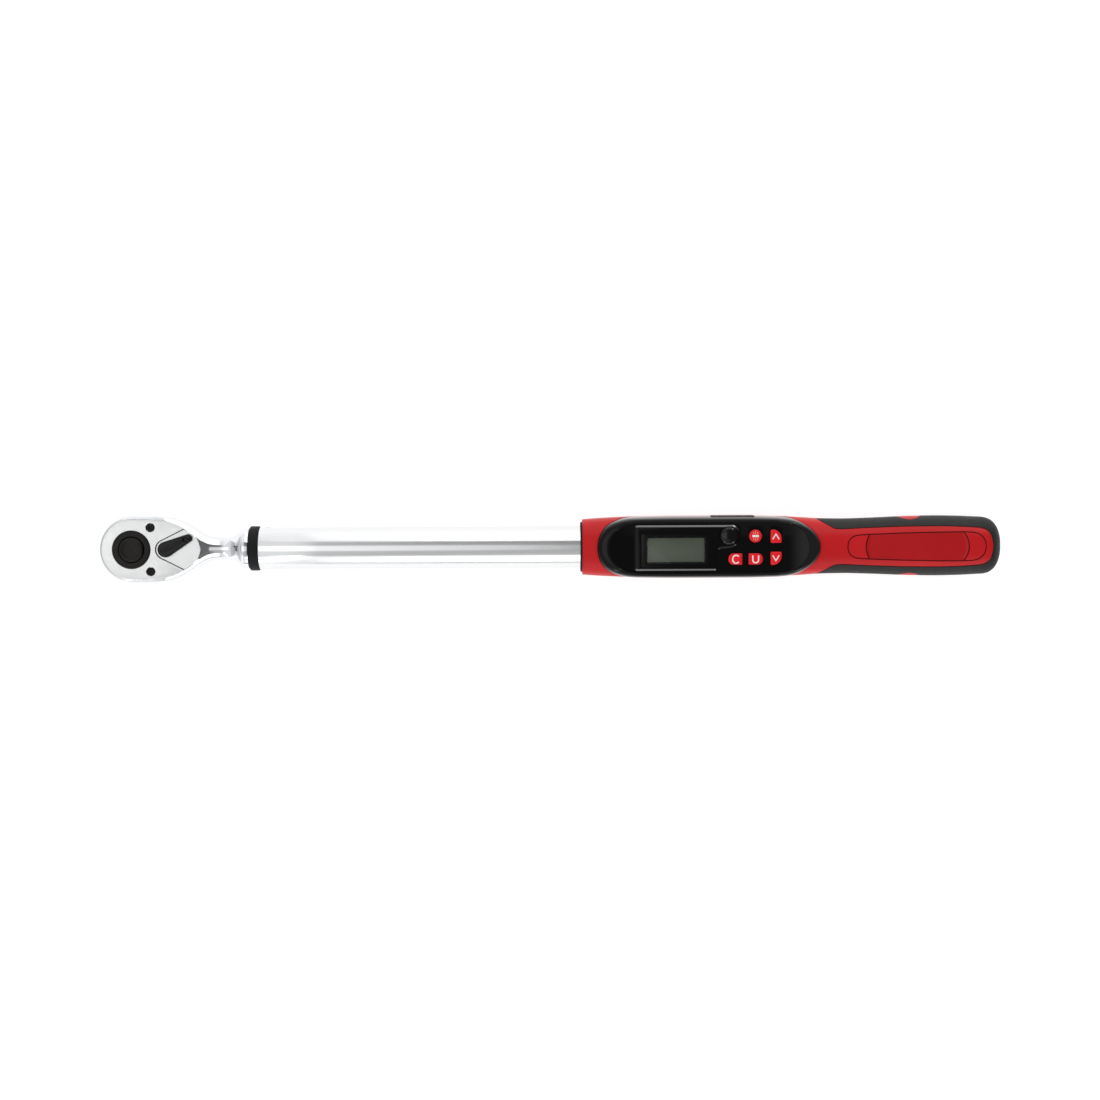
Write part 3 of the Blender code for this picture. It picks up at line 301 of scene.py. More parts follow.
STRIP = [(409.1, 16.1), (415.3, 12.5), (420.6, 10.7), (436.5, 11.3), (460, 12.1), (484, 12.2), (500, 11.5), (505, 11.0), (507.3, 10.3), (508.9, 9.1), (510.1, 7.4), (511.0, 5.1), (511.6, 2.6), (511.9, 0.0)]


def rubber_plan(grow=0.0):
    """Plan of the soft grip: both sides and the end, outside the red strip. grow widens it."""
    inner = [(x - (grow if x < 420 else 0), y - grow) if y > 6 else (x - grow, y) for x, y in STRIP]
    upper = [(401.0 - grow, 30.0), *inner]
    return [*upper, *[(x, -y) for x, y in reversed(upper[:-1])], (530.0, -30.0), (530.0, 30.0)]


def oval(rx, rz, cx=463.6, steps=20):
    return [(cx + rx * math.cos(2 * math.pi * k / steps), rz * math.sin(2 * math.pi * k / steps)) for k in range(steps)]


OUTER = [(277.1, 0), (277.4, 3.4), (278.2, 6.6), (279.6, 9.4), (281.6, 12.1), (284.6, 14.3), (288.0, 15.9), (292.7, 17.4), (298.0, 18.12)]
OUTER += [(x, HALF_W(x)) for x in (306, 320, 336, 352, 368, 378)]
OUTER += [(386, 17.95), (391.5, 17.2), (396.4, 15.6), (400.4, 13.4), (403.8, 10.9), (406.5, 8.0), (408.4, 4.6), (409.2, 2.2), (409.3, 0)]


INNER = [(283.4, 0), (283.6, 2.6), (284.3, 5.0), (285.6, 7.5), (287.6, 10.0), (290.2, 12.3), (293.4, 14.1), (297.4, 15.2), (302.0, 15.7)]
INNER += [(309, 15.8), (321.5, 15.85), (336, 15.85), (350, 15.85), (364, 15.85), (374, 15.75)]
INNER += [(382, 15.6), (387.5, 15.1), (391.6, 14.1), (395.2, 12.4), (398.2, 10.2), (400.5, 7.4), (402.0, 4.2), (402.6, 2.0), (402.7, 0)]


def both_sides(half):
    return [*half, *[(x, -y) for x, y in reversed(half[1:-1])]]


def body_top(x, y):
    t = min(1.0, abs(y) / HALF_W(x))
    return TOP_H(x) * (1 - t**BODY_N) ** (1 / BODY_N)


def crown(x):
    """Height of the bezel's rim: level over the display, and falling a little towards both ends."""
    if x < 296:
        return PANEL_Z + 0.3 - 0.6 * ((296 - x) / 13) ** 2
    if x > 384:
        return PANEL_Z + 0.3 - 1.0 * ((x - 384) / 19) ** 2
    return PANEL_Z + 0.3


def bore():
    """The housing's bore around the tube, with the front seal's wider seat."""
    return lathe([(0, 260.0), (15.3, 260.0), (15.3, 272.3), (BORE_R, 272.3), (BORE_R, 502.4), (0, 502.4)], axis="X", steps=32)


def gear_radius(phase):
    """Radius of the toothed rim at a phase of 0 to 1 across one tooth, with the tip at 0.5."""
    t = abs(2 * (phase % 1.0) - 1)
    rise = min(1.0, max(0.0, (1 - t - 0.12) / 0.76))
    return ROOT_R + (TIP_R - ROOT_R) * rise


def capsule(r0, r1, length, steps=7):
    """Outline of a tapered bar with round ends, from a circle of r0 at the origin to one of r1 at length along +X."""
    lean = math.degrees(math.asin((r0 - r1) / length))
    made = []
    for k in range(2 * steps + 1):
        a = math.radians(90 - lean + (180 + 2 * lean) * k / (2 * steps))
        made.append((r0 * math.cos(a), r0 * math.sin(a)))
    for k in range(steps + 1):
        a = math.radians(-90 + lean + (180 - 2 * lean) * k / steps)
        made.append((length + r1 * math.cos(a), r1 * math.sin(a)))
    return made


def corner_rounded(x0, x1, y0, y1, radii, steps=4):
    """Rectangle with a radius for each corner: +x+y, -x+y, -x-y, +x-y."""
    made = []
    corners = ((x1, y1, -1, -1, 0), (x0, y1, 1, -1, 90), (x0, y0, 1, 1, 180), (x1, y0, -1, 1, 270))
    for (x, y, dx, dy, a0), r in zip(corners, radii):
        for k in range(steps + 1):
            a = math.radians(a0 + 90 * k / steps)
            made.append((x + dx * r + r * math.cos(a), y + dy * r + r * math.sin(a)))
    return made


WINDOW_BOX = (302.9, 343.7, -11.7, 8.8)


LED_AT = (354.7, 7.0)


POWER_AT = (370.3, 6.85)


# ------------------------------------------------------------------ camera, floor and lights
def camera():
    data = bpy.data.cameras.new("camera")
    made = bpy.data.objects.new("camera", data)
    bpy.context.scene.collection.objects.link(made)
    data.sensor_width = 36.0
    data.lens = 65.45
    data.clip_start, data.clip_end = 0.05, 20.0
    target, eye = place(CAMERA_AT), place(CAMERA_FROM)
    back = (eye - target).normalized()
    roll = math.radians(CAMERA_ROLL)
    up = Vector((math.sin(roll), math.cos(roll), 0.0))
    right = up.cross(back).normalized()
    up = back.cross(right).normalized()
    basis = Matrix((right, up, back)).transposed().to_4x4()
    made.matrix_world = Matrix.Translation(eye) @ basis
    bpy.context.scene.camera = made


CAMERA_AT = (249.0, -1.8, 0.0)
CAMERA_FROM = (249.0, 52.0, 1200.0)
CAMERA_ROLL = 0.26
camera()


def flat_material(name, rgb, roughness, metallic=0.0, **inputs):
    made = bpy.data.materials.new(name)
    made.use_nodes = True
    shader = made.node_tree.nodes["Principled BSDF"]
    shader.inputs["Base Color"].default_value = (*rgb, 1.0)
    shader.inputs["Roughness"].default_value = roughness
    shader.inputs["Metallic"].default_value = metallic
    for key, value in inputs.items():
        shader.inputs[key.replace("_", " ")].default_value = value
    made.diffuse_color = (*rgb, 1.0)
    return made


def make_floor():
    slope = math.atan2(AXIS_H - 18.62, 480.0 - SQUARE / 2)
    bm = bmesh.new()
    size = 3.2
    for x, y in ((-size, -size), (size, -size), (size, size), (-size, size)):
        bm.verts.new((x, y, 0.0))
    bm.faces.new(bm.verts)
    mesh = bpy.data.meshes.new("floor")
    bm.to_mesh(mesh)
    bm.free()
    made = bpy.data.objects.new("floor", mesh)
    bpy.context.scene.collection.objects.link(made)
    made.matrix_world = Matrix.Translation((SQUARE / 2000, 0, -0.0002)) @ Matrix.Rotation(-slope, 4, "Y")
    mesh.materials.append(flat_material("floor_white", (0.5, 0.5, 0.5), 0.9, Emission_Color=(1.0, 1.0, 1.0, 1.0), Emission_Strength=0.74))


make_floor()


def light(name, at, aim, size_x, size_y, radiance, fill=False):
    """Soft box of an even brightness, where 1 is the brightness of the floor. A fill box lights surfaces and isn't mirrored in them."""
    data = bpy.data.lights.new(name, "AREA")
    data.shape = "RECTANGLE"
    data.size, data.size_y = size_x, size_y
    data.energy = radiance * math.pi * size_x * size_y
    made = bpy.data.objects.new(name, data)
    bpy.context.scene.collection.objects.link(made)
    made.location = at
    made.rotation_euler = (Vector(aim) - Vector(at)).to_track_quat("-Z", "Y").to_euler()
    made.visible_camera = False
    made.visible_glossy = not fill
    return made


light("overhead", (-0.245, 0.0, 1.30), (-0.245, 0.0, 0.0), 1.03, 0.64, 0.6)
light("back_bank_left", (-0.09, 1.5, 1.02), (-0.09, 0.0, 1.02), 0.14, 2.0, 0.5)
light("back_bank_right", (0.90, 1.5, 1.02), (0.90, 0.0, 1.02), 1.84, 2.0, 1.45)
light("front_bank_left", (-0.09, -1.5, 0.88), (-0.09, 0.0, 0.88), 0.14, 1.36, 0.4)
light("front_bank_right", (0.90, -1.5, 0.88), (0.90, 0.0, 0.88), 1.84, 1.36, 1.45)
light("back_bank_far", (-0.50, 1.5, 1.02), (-0.50, 0.0, 1.02), 0.68, 2.0, 0.22)
light("front_bank_far", (-0.50, -1.5, 0.88), (-0.50, 0.0, 0.88), 0.68, 1.36, 0.2)
light("glint_back", (1.30, 1.42, 0.85), (0.39, 0.0, 0.05), 0.09, 1.2, 11.0)
light("glint_front", (1.40, -1.42, 0.85), (0.39, 0.0, 0.05), 0.09, 1.2, 11.0)
light("glint_left", (-0.50, -1.42, 0.85), (0.29, 0.0, 0.05), 0.12, 1.2, 6.0)


def studio_world():
    """A dim room, brighter behind the head's end, with a paler strip above the front."""
    made = bpy.data.worlds.new("studio")
    bpy.context.scene.world = made
    made.use_nodes = True
    tree = made.node_tree

    def ranged(value, low, high, to_low, to_high):
        node = tree.nodes.new("ShaderNodeMapRange")
        for key, number in (("From Min", low), ("From Max", high), ("To Min", to_low), ("To Max", to_high)):
            node.inputs[key].default_value = number
        tree.links.new(value, node.inputs["Value"])
        return node.outputs["Result"]

    def maths(operation, a, b):
        node = tree.nodes.new("ShaderNodeMath")
        node.operation = operation
        tree.links.new(a, node.inputs[0])
        tree.links.new(b, node.inputs[1])
        return node.outputs[0]

    split = tree.nodes.new("ShaderNodeSeparateXYZ")
    tree.links.new(tree.nodes.new("ShaderNodeTexCoord").outputs["Generated"], split.inputs[0])
    ramp = tree.nodes.new("ShaderNodeValToRGB")
    stops = ((0.0, 0.5), (0.1, 0.6), (0.2, 0.85), (0.375, 0.85), (0.4, 0.8), (0.44, 0.6), (0.475, 0.26), (0.5, 0.22), (0.575, 0.16), (1.0, 0.13))
    while len(ramp.color_ramp.elements) < len(stops):
        ramp.color_ramp.elements.new(0.5)
    for element, (position, level) in zip(ramp.color_ramp.elements, stops):
        element.position = position
        element.color = (level * 0.98, level * 0.99, level, 1.0)
    tree.links.new(ranged(split.outputs["X"], -1.0, 1.0, 0.0, 1.0), ramp.inputs["Fac"])
    strip = maths("MULTIPLY", ranged(split.outputs["Y"], -0.2, -0.3, 0.0, 0.52), ranged(split.outputs["X"], 0.2, 0.05, 0.35, 1.0))
    strip = maths("MULTIPLY", strip, ranged(split.outputs["Z"], 0.55, 0.65, 0.0, 1.0))
    lighten = tree.nodes.new("ShaderNodeMix")
    lighten.data_type = "RGBA"
    lighten.blend_type = "LIGHTEN"
    lighten.inputs[0].default_value = 1.0
    tree.links.new(ramp.outputs["Color"], lighten.inputs[6])
    tree.links.new(strip, lighten.inputs[7])
    tree.links.new(lighten.outputs[2], tree.nodes["Background"].inputs["Color"])


studio_world()
bpy.context.scene.view_settings.view_transform = "Standard"


# ------------------------------------------------------------------ procedural materials
class Surface:
    """A Principled material whose roughness, colour and bump come from noise in object space."""

    def __init__(self, name, rgb, roughness, metallic=0.0, **inputs):
        self.material = flat_material(name, rgb, roughness, metallic, **inputs)
        self.tree = self.material.node_tree
        self.shader = self.tree.nodes["Principled BSDF"]
        self.rgb = rgb
        self.roughness = roughness
        self.coords = self.tree.nodes.new("ShaderNodeTexCoord").outputs["Object"]
        self.normal = None

    def node(self, kind, **settings):
        made = self.tree.nodes.new(kind)
        for key, value in settings.items():
            setattr(made, key, value)
        return made

    def link(self, a, b):
        self.tree.links.new(a, b)

    def mapped(self, scale):
        made = self.node("ShaderNodeMapping")
        made.inputs["Scale"].default_value = scale
        self.link(self.coords, made.inputs["Vector"])
        return made.outputs["Vector"]

    def noise(self, scale, stretch=(1, 1, 1), detail=3.0, rough=0.55):
        made = self.node("ShaderNodeTexNoise")
        made.inputs["Scale"].default_value = scale
        made.inputs["Detail"].default_value = detail
        made.inputs["Roughness"].default_value = rough
        self.link(self.mapped(stretch), made.inputs["Vector"])
        return made.outputs["Fac"]

    def cells(self, scale, stretch=(1, 1, 1), feature="F1"):
        made = self.node("ShaderNodeTexVoronoi", feature=feature)
        made.inputs["Scale"].default_value = scale
        self.link(self.mapped(stretch), made.inputs["Vector"])
        return made.outputs["Distance"]

    def ranged(self, value, low, high, from_low=0.0, from_high=1.0):
        made = self.node("ShaderNodeMapRange")
        for key, number in (("From Min", from_low), ("From Max", from_high), ("To Min", low), ("To Max", high)):
            made.inputs[key].default_value = number
        self.link(value, made.inputs["Value"])
        return made.outputs["Result"]

    def vary_roughness(self, value, spread):
        self.link(self.ranged(value, self.roughness - spread, self.roughness + spread, 0.25, 0.75), self.shader.inputs["Roughness"])
        return self

    def vary_colour(self, value, darker, lighter=1.0, low=0.3, high=0.7):
        mix = self.node("ShaderNodeMix", data_type="RGBA")
        mix.inputs[6].default_value = (*[c * darker for c in self.rgb], 1.0)
        mix.inputs[7].default_value = (*[min(1.0, c * lighter) for c in self.rgb], 1.0)
        self.link(self.ranged(value, 0.0, 1.0, low, high), mix.inputs[0])
        self.link(mix.outputs[2], self.shader.inputs["Base Color"])
        return self

    def bump(self, value, distance, strength=1.0):
        made = self.node("ShaderNodeBump")
        made.inputs["Strength"].default_value = strength
        made.inputs["Distance"].default_value = distance
        self.link(value, made.inputs["Height"])
        if self.normal is not None:
            self.link(self.normal, made.inputs["Normal"])
        self.normal = made.outputs["Normal"]
        self.link(self.normal, self.shader.inputs["Normal"])
        return self

    def soft_edges(self, radius):
        made = self.node("ShaderNodeBevel", samples=4)
        made.inputs["Radius"].default_value = radius
        self.normal = made.outputs["Normal"]
        self.link(self.normal, self.shader.inputs["Normal"])
        return self

    def beyond(self, axis, start, end):
        """0 before start and 1 past end along an object axis, in metres."""
        split = self.node("ShaderNodeSeparateXYZ")
        self.link(self.coords, split.inputs["Vector"])
        return self.ranged(split.outputs[axis], 0.0, 1.0, start, end)

    def times(self, a, b):
        made = self.node("ShaderNodeMath", operation="MULTIPLY")
        for k, value in enumerate((a, b)):
            if isinstance(value, (int, float)):
                made.inputs[k].default_value = value
            else:
                self.link(value, made.inputs[k])
        return made.outputs[0]

    def plus(self, a, b):
        made = self.node("ShaderNodeMath", operation="ADD")
        for k, value in enumerate((a, b)):
            if isinstance(value, (int, float)):
                made.inputs[k].default_value = value
            else:
                self.link(value, made.inputs[k])
        return made.outputs[0]


def chrome(name="polished_chrome_skin"):
    s = Surface(name, (0.84, 0.85, 0.865), 0.09, 1.0).soft_edges(0.00035)
    s.vary_roughness(s.noise(60.0, detail=4.0), 0.035)
    s.vary_colour(s.noise(25.0), 0.95)
    return s.bump(s.noise(90.0, detail=2.0), 0.00003, 0.25).material


def tube_chrome():
    s = Surface("tube_chrome_skin", (0.84, 0.845, 0.85), 0.2, 1.0)
    s.vary_roughness(s.noise(40.0, (0.12, 14.0, 14.0), 5.0), 0.07)
    s.vary_colour(s.noise(30.0, (0.08, 18.0, 18.0), 5.0), 0.94)
    return s.bump(s.noise(40.0, (0.1, 22.0, 22.0), 4.0), 0.00002, 0.35).material


def satin_chrome():
    s = Surface("satin_chrome_skin", (0.755, 0.76, 0.755), 0.33, 1.0).soft_edges(0.00025)
    s.vary_roughness(s.noise(900.0, detail=5.0), 0.06)
    s.vary_colour(s.noise(150.0, detail=5.0), 0.955)
    return s.bump(s.noise(2600.0, detail=3.0), 0.00001, 0.35).material


def black_oxide():
    s = Surface("black_oxide_skin", (0.012, 0.0105, 0.0095), 0.42, 0.4, Specular_IOR_Level=0.3).soft_edges(0.0002)
    s.vary_roughness(s.noise(700.0, detail=5.0), 0.09)
    s.vary_colour(s.noise(220.0, detail=4.0), 0.7, 1.3)
    return s.bump(s.noise(2400.0, detail=3.0), 0.000012, 0.4).material


def bright_steel(name="bright_steel_skin", rgb=(0.6, 0.6, 0.6)):
    s = Surface(name, rgb, 0.26, 1.0)
    s.vary_roughness(s.noise(400.0, detail=4.0), 0.07)
    return s.vary_colour(s.noise(120.0), 0.9).material


def lever_black():
    s = Surface("lever_black_skin", (0.004, 0.0039, 0.0037), 0.17, 0.0, Specular_IOR_Level=0.24).soft_edges(0.0003)
    s.vary_roughness(s.noise(500.0, detail=4.0), 0.04)
    return s.bump(s.noise(1500.0, detail=3.0), 0.000012, 0.4).material


def moulded(name, rgb, roughness, grain=0.000012, edge=0.0002, wear=0.9, scale=2200.0, **inputs):
    s = Surface(name, rgb, roughness, **inputs).soft_edges(edge)
    s.vary_roughness(s.noise(800.0, detail=4.0), 0.06)
    s.vary_colour(s.noise(45.0, detail=3.0), wear)
    return s.bump(s.noise(scale, detail=2.0), grain, 0.5).material


def grip_rubber():
    s = Surface("grip_rubber_skin", (0.0155, 0.0153, 0.0144), 0.6, Specular_IOR_Level=0.25)
    s.soft_edges(0.0003)
    s.vary_roughness(s.noise(500.0, detail=4.0), 0.08)
    s.vary_colour(s.beyond("X", 0.516, 0.498), 0.62, 1.0, 0.0, 1.0)
    return s.bump(s.cells(1700.0), 0.00009, 0.6).material


def bezel_gloss():
    s = Surface("bezel_gloss_skin", (0.014, 0.0133, 0.0128), 0.1, Specular_IOR_Level=0.17).soft_edges(0.00025)
    textured = s.beyond("X", 0.3900, 0.3985)
    dots = s.cells(1300.0)
    s.vary_colour(textured, 0.2, 1.0, 0.0, 1.0)
    s.link(s.plus(s.times(textured, 0.35), s.ranged(s.noise(500.0, detail=4.0), 0.07, 0.12)), s.shader.inputs["Roughness"])
    return s.bump(s.times(dots, textured), 0.0001, 0.5).material


CHROME = chrome()
TUBE = tube_chrome()
SATIN = satin_chrome()
OXIDE = black_oxide()
LEVER_BLACK = lever_black()
STEEL = bright_steel()
NICKEL = bright_steel("nickel_skin", (0.66, 0.62, 0.52))
RED = moulded("red_shell_skin", (0.565, 0.0125, 0.016), 0.38, Specular_IOR_Level=0.16)
# A darker red for the grip's dished middle panel: painted shade of the dish, added on top of the shade the sunk skin
# gives.
RED_PANEL_SHADE = moulded("red_panel_shade_skin", (0.46, 0.0105, 0.0135), 0.36, Specular_IOR_Level=0.16)
# Near-black red for the faces inside the grip panel's grooves: painted shade in the grooves.
RED_GROOVE_SHADE = moulded("red_groove_shade_skin", (0.10, 0.004, 0.005), 0.5, Specular_IOR_Level=0.1)
KEY = moulded("key_skin", (0.86, 0.014, 0.024), 0.3, 0.000006, 0.00015, Specular_IOR_Level=0.3)
RUBBER = grip_rubber()
SEAL = moulded("seal_rubber_skin", (0.009, 0.0088, 0.0085), 0.55, Specular_IOR_Level=0.15)
FLAP = moulded("flap_rubber_skin", (0.008, 0.008, 0.0077), 0.42, Specular_IOR_Level=0.35)
BEZEL = bezel_gloss()
BEZEL_SIDE = moulded("bezel_side_skin", (0.014, 0.0133, 0.0128), 0.12, 0.000004, 0.00025, Specular_IOR_Level=0.22)
TRAY = moulded("tray_plastic_skin", (0.02, 0.02, 0.02), 0.5)
LEGEND = moulded("legend_print", (0.86, 0.86, 0.84), 0.4, 0.000002, 0.00005, 0.96)
RAY = moulded("ray_print", (0.75, 0.62, 0.5), 0.4, 0.000002, 0.00005, 0.96)
WHITE = moulded("white_plastic_skin", (0.78, 0.78, 0.76), 0.45)
SILICONE = moulded("grey_silicone_skin", (0.2, 0.2, 0.2), 0.6)
SLEEVE = moulded("lead_sleeve_skin", (0.02, 0.02, 0.02), 0.45)
RED_SLEEVE = moulded("red_sleeve_skin", (0.5, 0.02, 0.02), 0.45)
GAUGE = moulded("gauge_foil_skin", (0.55, 0.3, 0.1), 0.35)
CELL = moulded("cell_sleeve_skin", (0.03, 0.035, 0.05), 0.25)
CHIP = moulded("chip_skin", (0.012, 0.012, 0.012), 0.4)
# Near-black for the faces inside the lever pocket's trench and the bezel's rim groove: painted shade in these recesses.
TRENCH_SHADOW = moulded("trench_shadow", (0.008, 0.008, 0.008), 0.6, Specular_IOR_Level=0.1)
# The bezel's black with a much stronger reflection, for the window frame's faces that face the side lamps: a painted
# highlight along the frame's top and bottom edges.
EDGE_HIGHLIGHT = Surface("frame_edge_highlight_skin", (0.004, 0.004, 0.004), 0.2, Specular_IOR_Level=1.0, IOR=1.6)
EDGE_HIGHLIGHT = EDGE_HIGHLIGHT.vary_roughness(EDGE_HIGHLIGHT.noise(400.0), 0.03).material
LENS = Surface("smoked_lens_skin", (0.004, 0.004, 0.0045), 0.06, Specular_IOR_Level=0.3)
LENS = LENS.vary_roughness(LENS.noise(200.0), 0.015).material
MASK = moulded("lcd_mask", (0.003, 0.003, 0.003), 0.2, 0.000002, 0.0001, Specular_IOR_Level=0.2)


def lcd_face():
    s = Surface("lcd_face_skin", (0.165, 0.170, 0.118), 0.32, Specular_IOR_Level=0.3)
    s.vary_roughness(s.noise(300.0), 0.03)
    s.vary_colour(s.noise(18.0, detail=1.0), 0.86, 1.12)
    return s.bump(s.noise(3000.0, (1, 1, 1), 1.0), 0.000002, 0.2).material


def clear_pane():
    s = Surface("clear_pane_skin", (0.9, 0.95, 0.95), 0.02, Transmission_Weight=1.0, IOR=1.3)
    s.vary_roughness(s.noise(100.0), 0.008)
    return s.material


def board_green():
    s = Surface("board_skin", (0.015, 0.1, 0.045), 0.4)
    s.vary_colour(s.cells(350.0), 0.55, 1.3)
    return s.vary_roughness(s.noise(300.0), 0.08).material


LCD = lcd_face()
PANE = clear_pane()
BOARD = board_green()


# ------------------------------------------------------------------ making pieces and attaching them to their bodies
def finish(bm, name, mat, smooth=35.0):
    bmesh.ops.remove_doubles(bm, verts=bm.verts, dist=1e-6)
    bmesh.ops.recalc_face_normals(bm, faces=bm.faces)
    mesh = bpy.data.meshes.new(name)
    bm.to_mesh(mesh)
    bm.free()
    made = bpy.data.objects.new(name, mesh)
    bpy.context.scene.collection.objects.link(made)
    mesh.materials.append(mat)
    mesh.shade_smooth()
    mesh.set_sharp_from_angle(angle=math.radians(smooth))
    return made


def volume_of(mesh):
    bm = bmesh.new()
    bm.from_mesh(mesh)
    found = bm.calc_volume(signed=False) if bm.faces else 0.0
    bm.free()
    return found


def combine(target, shape, operation="DIFFERENCE", smooth=35.0):
    """Boolean of target with a throw-away solid, applied at once. One that fails is tried again a few micrometres away."""
    other = shape if isinstance(shape, bpy.types.Object) else finish(shape, "cutter", TRAY)
    modifier = target.modifiers.new("boolean", "BOOLEAN")
    modifier.operation = operation
    modifier.solver = "EXACT"
    modifier.object = other
    modifier.material_mode = "INDEX"
    before, tool = volume_of(target.data), volume_of(other.data)
    least = max(0.0, before - tool) * 0.98 if operation == "DIFFERENCE" else 0.01 * min(before, tool)
    for shift in ((0, 0, 0), (3e-6, 2e-6, 4e-6), (-5e-6, 4e-6, -7e-6), (9e-6, -8e-6, 6e-6), (-2e-5, -1.5e-5, 1.8e-5)):
        other.data.transform(Matrix.Translation(shift))
        bpy.context.view_layer.update()
        graph = bpy.context.evaluated_depsgraph_get()
        made = bpy.data.meshes.new_from_object(target.evaluated_get(graph))
        if len(made.polygons) > 3 and least <= volume_of(made) <= (before + tool) * 1.01:
            break
        print("boolean tried again on", target.name)
    else:
        print("boolean left out on", target.name)
        bpy.data.meshes.remove(made)
        made = target.data.copy()
    bm = bmesh.new()
    bm.from_mesh(made)
    bmesh.ops.remove_doubles(bm, verts=bm.verts, dist=1.5e-6)
    bmesh.ops.dissolve_degenerate(bm, edges=bm.edges, dist=1e-6)
    bm.to_mesh(made)
    bm.free()
    target.modifiers.clear()
    old, target.data = target.data, made
    bpy.data.meshes.remove(old)
    bpy.data.objects.remove(other, do_unlink=True)
    while len(target.data.materials) > 1:
        target.data.materials.pop()
    target.data.shade_smooth()
    target.data.set_sharp_from_angle(angle=math.radians(smooth))
    return target


def cut(target, *shapes):
    for shape in shapes:
        combine(target, shape, "DIFFERENCE")
    return target


def join(target, *shapes):
    for shape in shapes:
        combine(target, shape, "UNION")
    return target


def use(piece, body, slot, *nodes):
    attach(piece, body)
    if nodes:
        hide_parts(*nodes)
    return piece


def dense(points, per_span=5, closed=False):
    """The polyline resampled through its points with a Catmull-Rom curve."""
    pts = [Vector(p) for p in points]
    n = len(pts)
    if closed:
        ring = [pts[-1], *pts, pts[0], pts[1]]
        count = n
    else:
        ring = [2 * pts[0] - pts[1], *pts, 2 * pts[-1] - pts[-2]]
        count = n - 1
    made = []
    for k in range(count):
        a, b, c, d = ring[k : k + 4]
        for j in range(per_span):
            t = j / per_span
            made.append(tuple(0.5 * (2 * b + (c - a) * t + (2 * a - 5 * b + 4 * c - d) * t**2 + (3 * b - a - 3 * c + d) * t**3)))
    if not closed:
        made.append(tuple(pts[-1]))
    return made


def soft_prism(outline, low, high, r=0.3, steps=3, bottom=0.0):
    """Prism along Z with a rounded top edge, and a rounded bottom edge where bottom is given."""
    levels = []
    if bottom:
        for k in range(steps + 1):
            a = math.pi / 2 * k / steps
            levels.append((-bottom * (1 - math.sin(a)), low + bottom * (1 - math.cos(a))))
    else:
        levels.append((0.0, low))
    for k in range(steps + 1):
        a = math.pi / 2 * k / steps
        levels.append((-r * (1 - math.cos(a)), high - r * (1 - math.sin(a))))
    return skin([[(u, v, z) for u, v in (offset(outline, grow) if grow else outline)] for grow, z in levels])


def circle(cx, cy, r, steps=64):
    return [(cx + r * math.cos(2 * math.pi * k / steps), cy + r * math.sin(2 * math.pi * k / steps)) for k in range(steps)]


# ------------------------------------------------------------------ ratchet head
def forging():
    """The head's forged skin: a half revolve round the drive axis that runs on into sections across X, down to the neck
    and out again to the flange."""
    stations = []
    fan = 26
    for k in range(fan):
        a = math.pi - (math.pi / 2) * k / fan
        stations.append(((0.0, 0.0), (math.cos(a), math.sin(a)), 20.5, 11.6, 6.0))
    x = 0.0
    while x < 66.0:
        stations.append(((x, 0.0), (0.0, 1.0), HEAD_W(x), HEAD_H(x), HEAD_N(x)))
        x += 1.1 if x < 58 else 0.5
    stations.append(((66.0, 0.0), (0.0, 1.0), HEAD_W(66), HEAD_H(66), HEAD_N(66)))
    bm = bmesh.new()
    arc = 44
    for side in (1.0, -1.0):
        rows = []
        for (sx, sy), (dx, dy), w, h, n in stations:
            row = []
            for j in range(arc + 1):
                a = math.pi / 2 - math.pi * j / arc
                c, s = math.cos(a), math.sin(a)
                out = w * (abs(c) ** (2 / n) if abs(c) > 1e-9 else 0.0)
                z = h * math.copysign(abs(s) ** (2 / n) if abs(s) > 1e-9 else 0.0, s)
                row.append(bm.verts.new(place((sx + dx * out, side * (sy + dy * out), z))))
            rows.append(row)
        for a, b in zip(rows, rows[1:]):
            for j in range(arc):
                quad = [a[j], a[j + 1], b[j + 1], b[j]]
                if len({tuple(round(c, 7) for c in v.co) for v in quad}) > 2:
                    bm.faces.new(quad)
    bmesh.ops.remove_doubles(bm, verts=bm.verts, dist=2e-6)
    bmesh.ops.dissolve_degenerate(bm, edges=bm.edges, dist=1e-6)
    bmesh.ops.holes_fill(bm, edges=[e for e in bm.edges if e.is_boundary])
    return bm


def face_plan(grow=0.0):
    """Smooth pear-shaped outline of the head's flat faces."""
    half = [(-17.9 * math.cos(math.radians(90 * k / 24)), 17.9 * math.sin(math.radians(90 * k / 24))) for k in range(24)]
    half += [(x, FACE_W(x)) for x in (0, 3, 6, 9, 12, 15, 17, 19, 21, 23, 25, 27, 29, 31, 33, 34.5, 36, 37.3, 38.4, 39.3, 40.0, 40.5, 40.85, 41.0)]
    plan = both_sides(half)
    return offset(plan, grow) if grow else plan


head = finish(forging(), "head_forging", CHROME)
flange = [(0, 58), (5, 58), (5, 64.9), (11.9, 65.0), (12.25, 65.15), (12.5, 65.5), (12.55, 66.0), (12.55, 68.7), (12.45, 69.0), (12.2, 69.2), (10.3, 69.2), (10.3, 87.5), (9.8, 88), (0, 88)]
join(
    head,
    lathe(flange, axis="X", steps=128),
    prism(face_plan(), -HEAD_T, -2.0),
    box((80, -5.5, -6.5), (150, 5.5, 6.5)),
)
room = [(9.0, -8.6), (13.0, -11.3), (17.5, -11.3), (24.5, -7.0), (27.3, -3.0), (27.3, 3.0), (24.5, 7.0), (17.5, 11.3), (13.0, 11.3), (9.0, 8.6)]
cut(
    head,
    prism(face_plan(0.12), POCKET_Z, 20.0),
    rod(CHAMBER_R, -8.8, 15.0, steps=96),
    rod(HUB_R + GAP, -20.0, 0.0, steps=96),
    prism(room, -7.2, 15.0),
    rod(2.3, -15.0, 15.0, (80.5, 0, 0), "Y", steps=24),
)
use(head, "wrench", "polished_chrome", "ratchet_head")

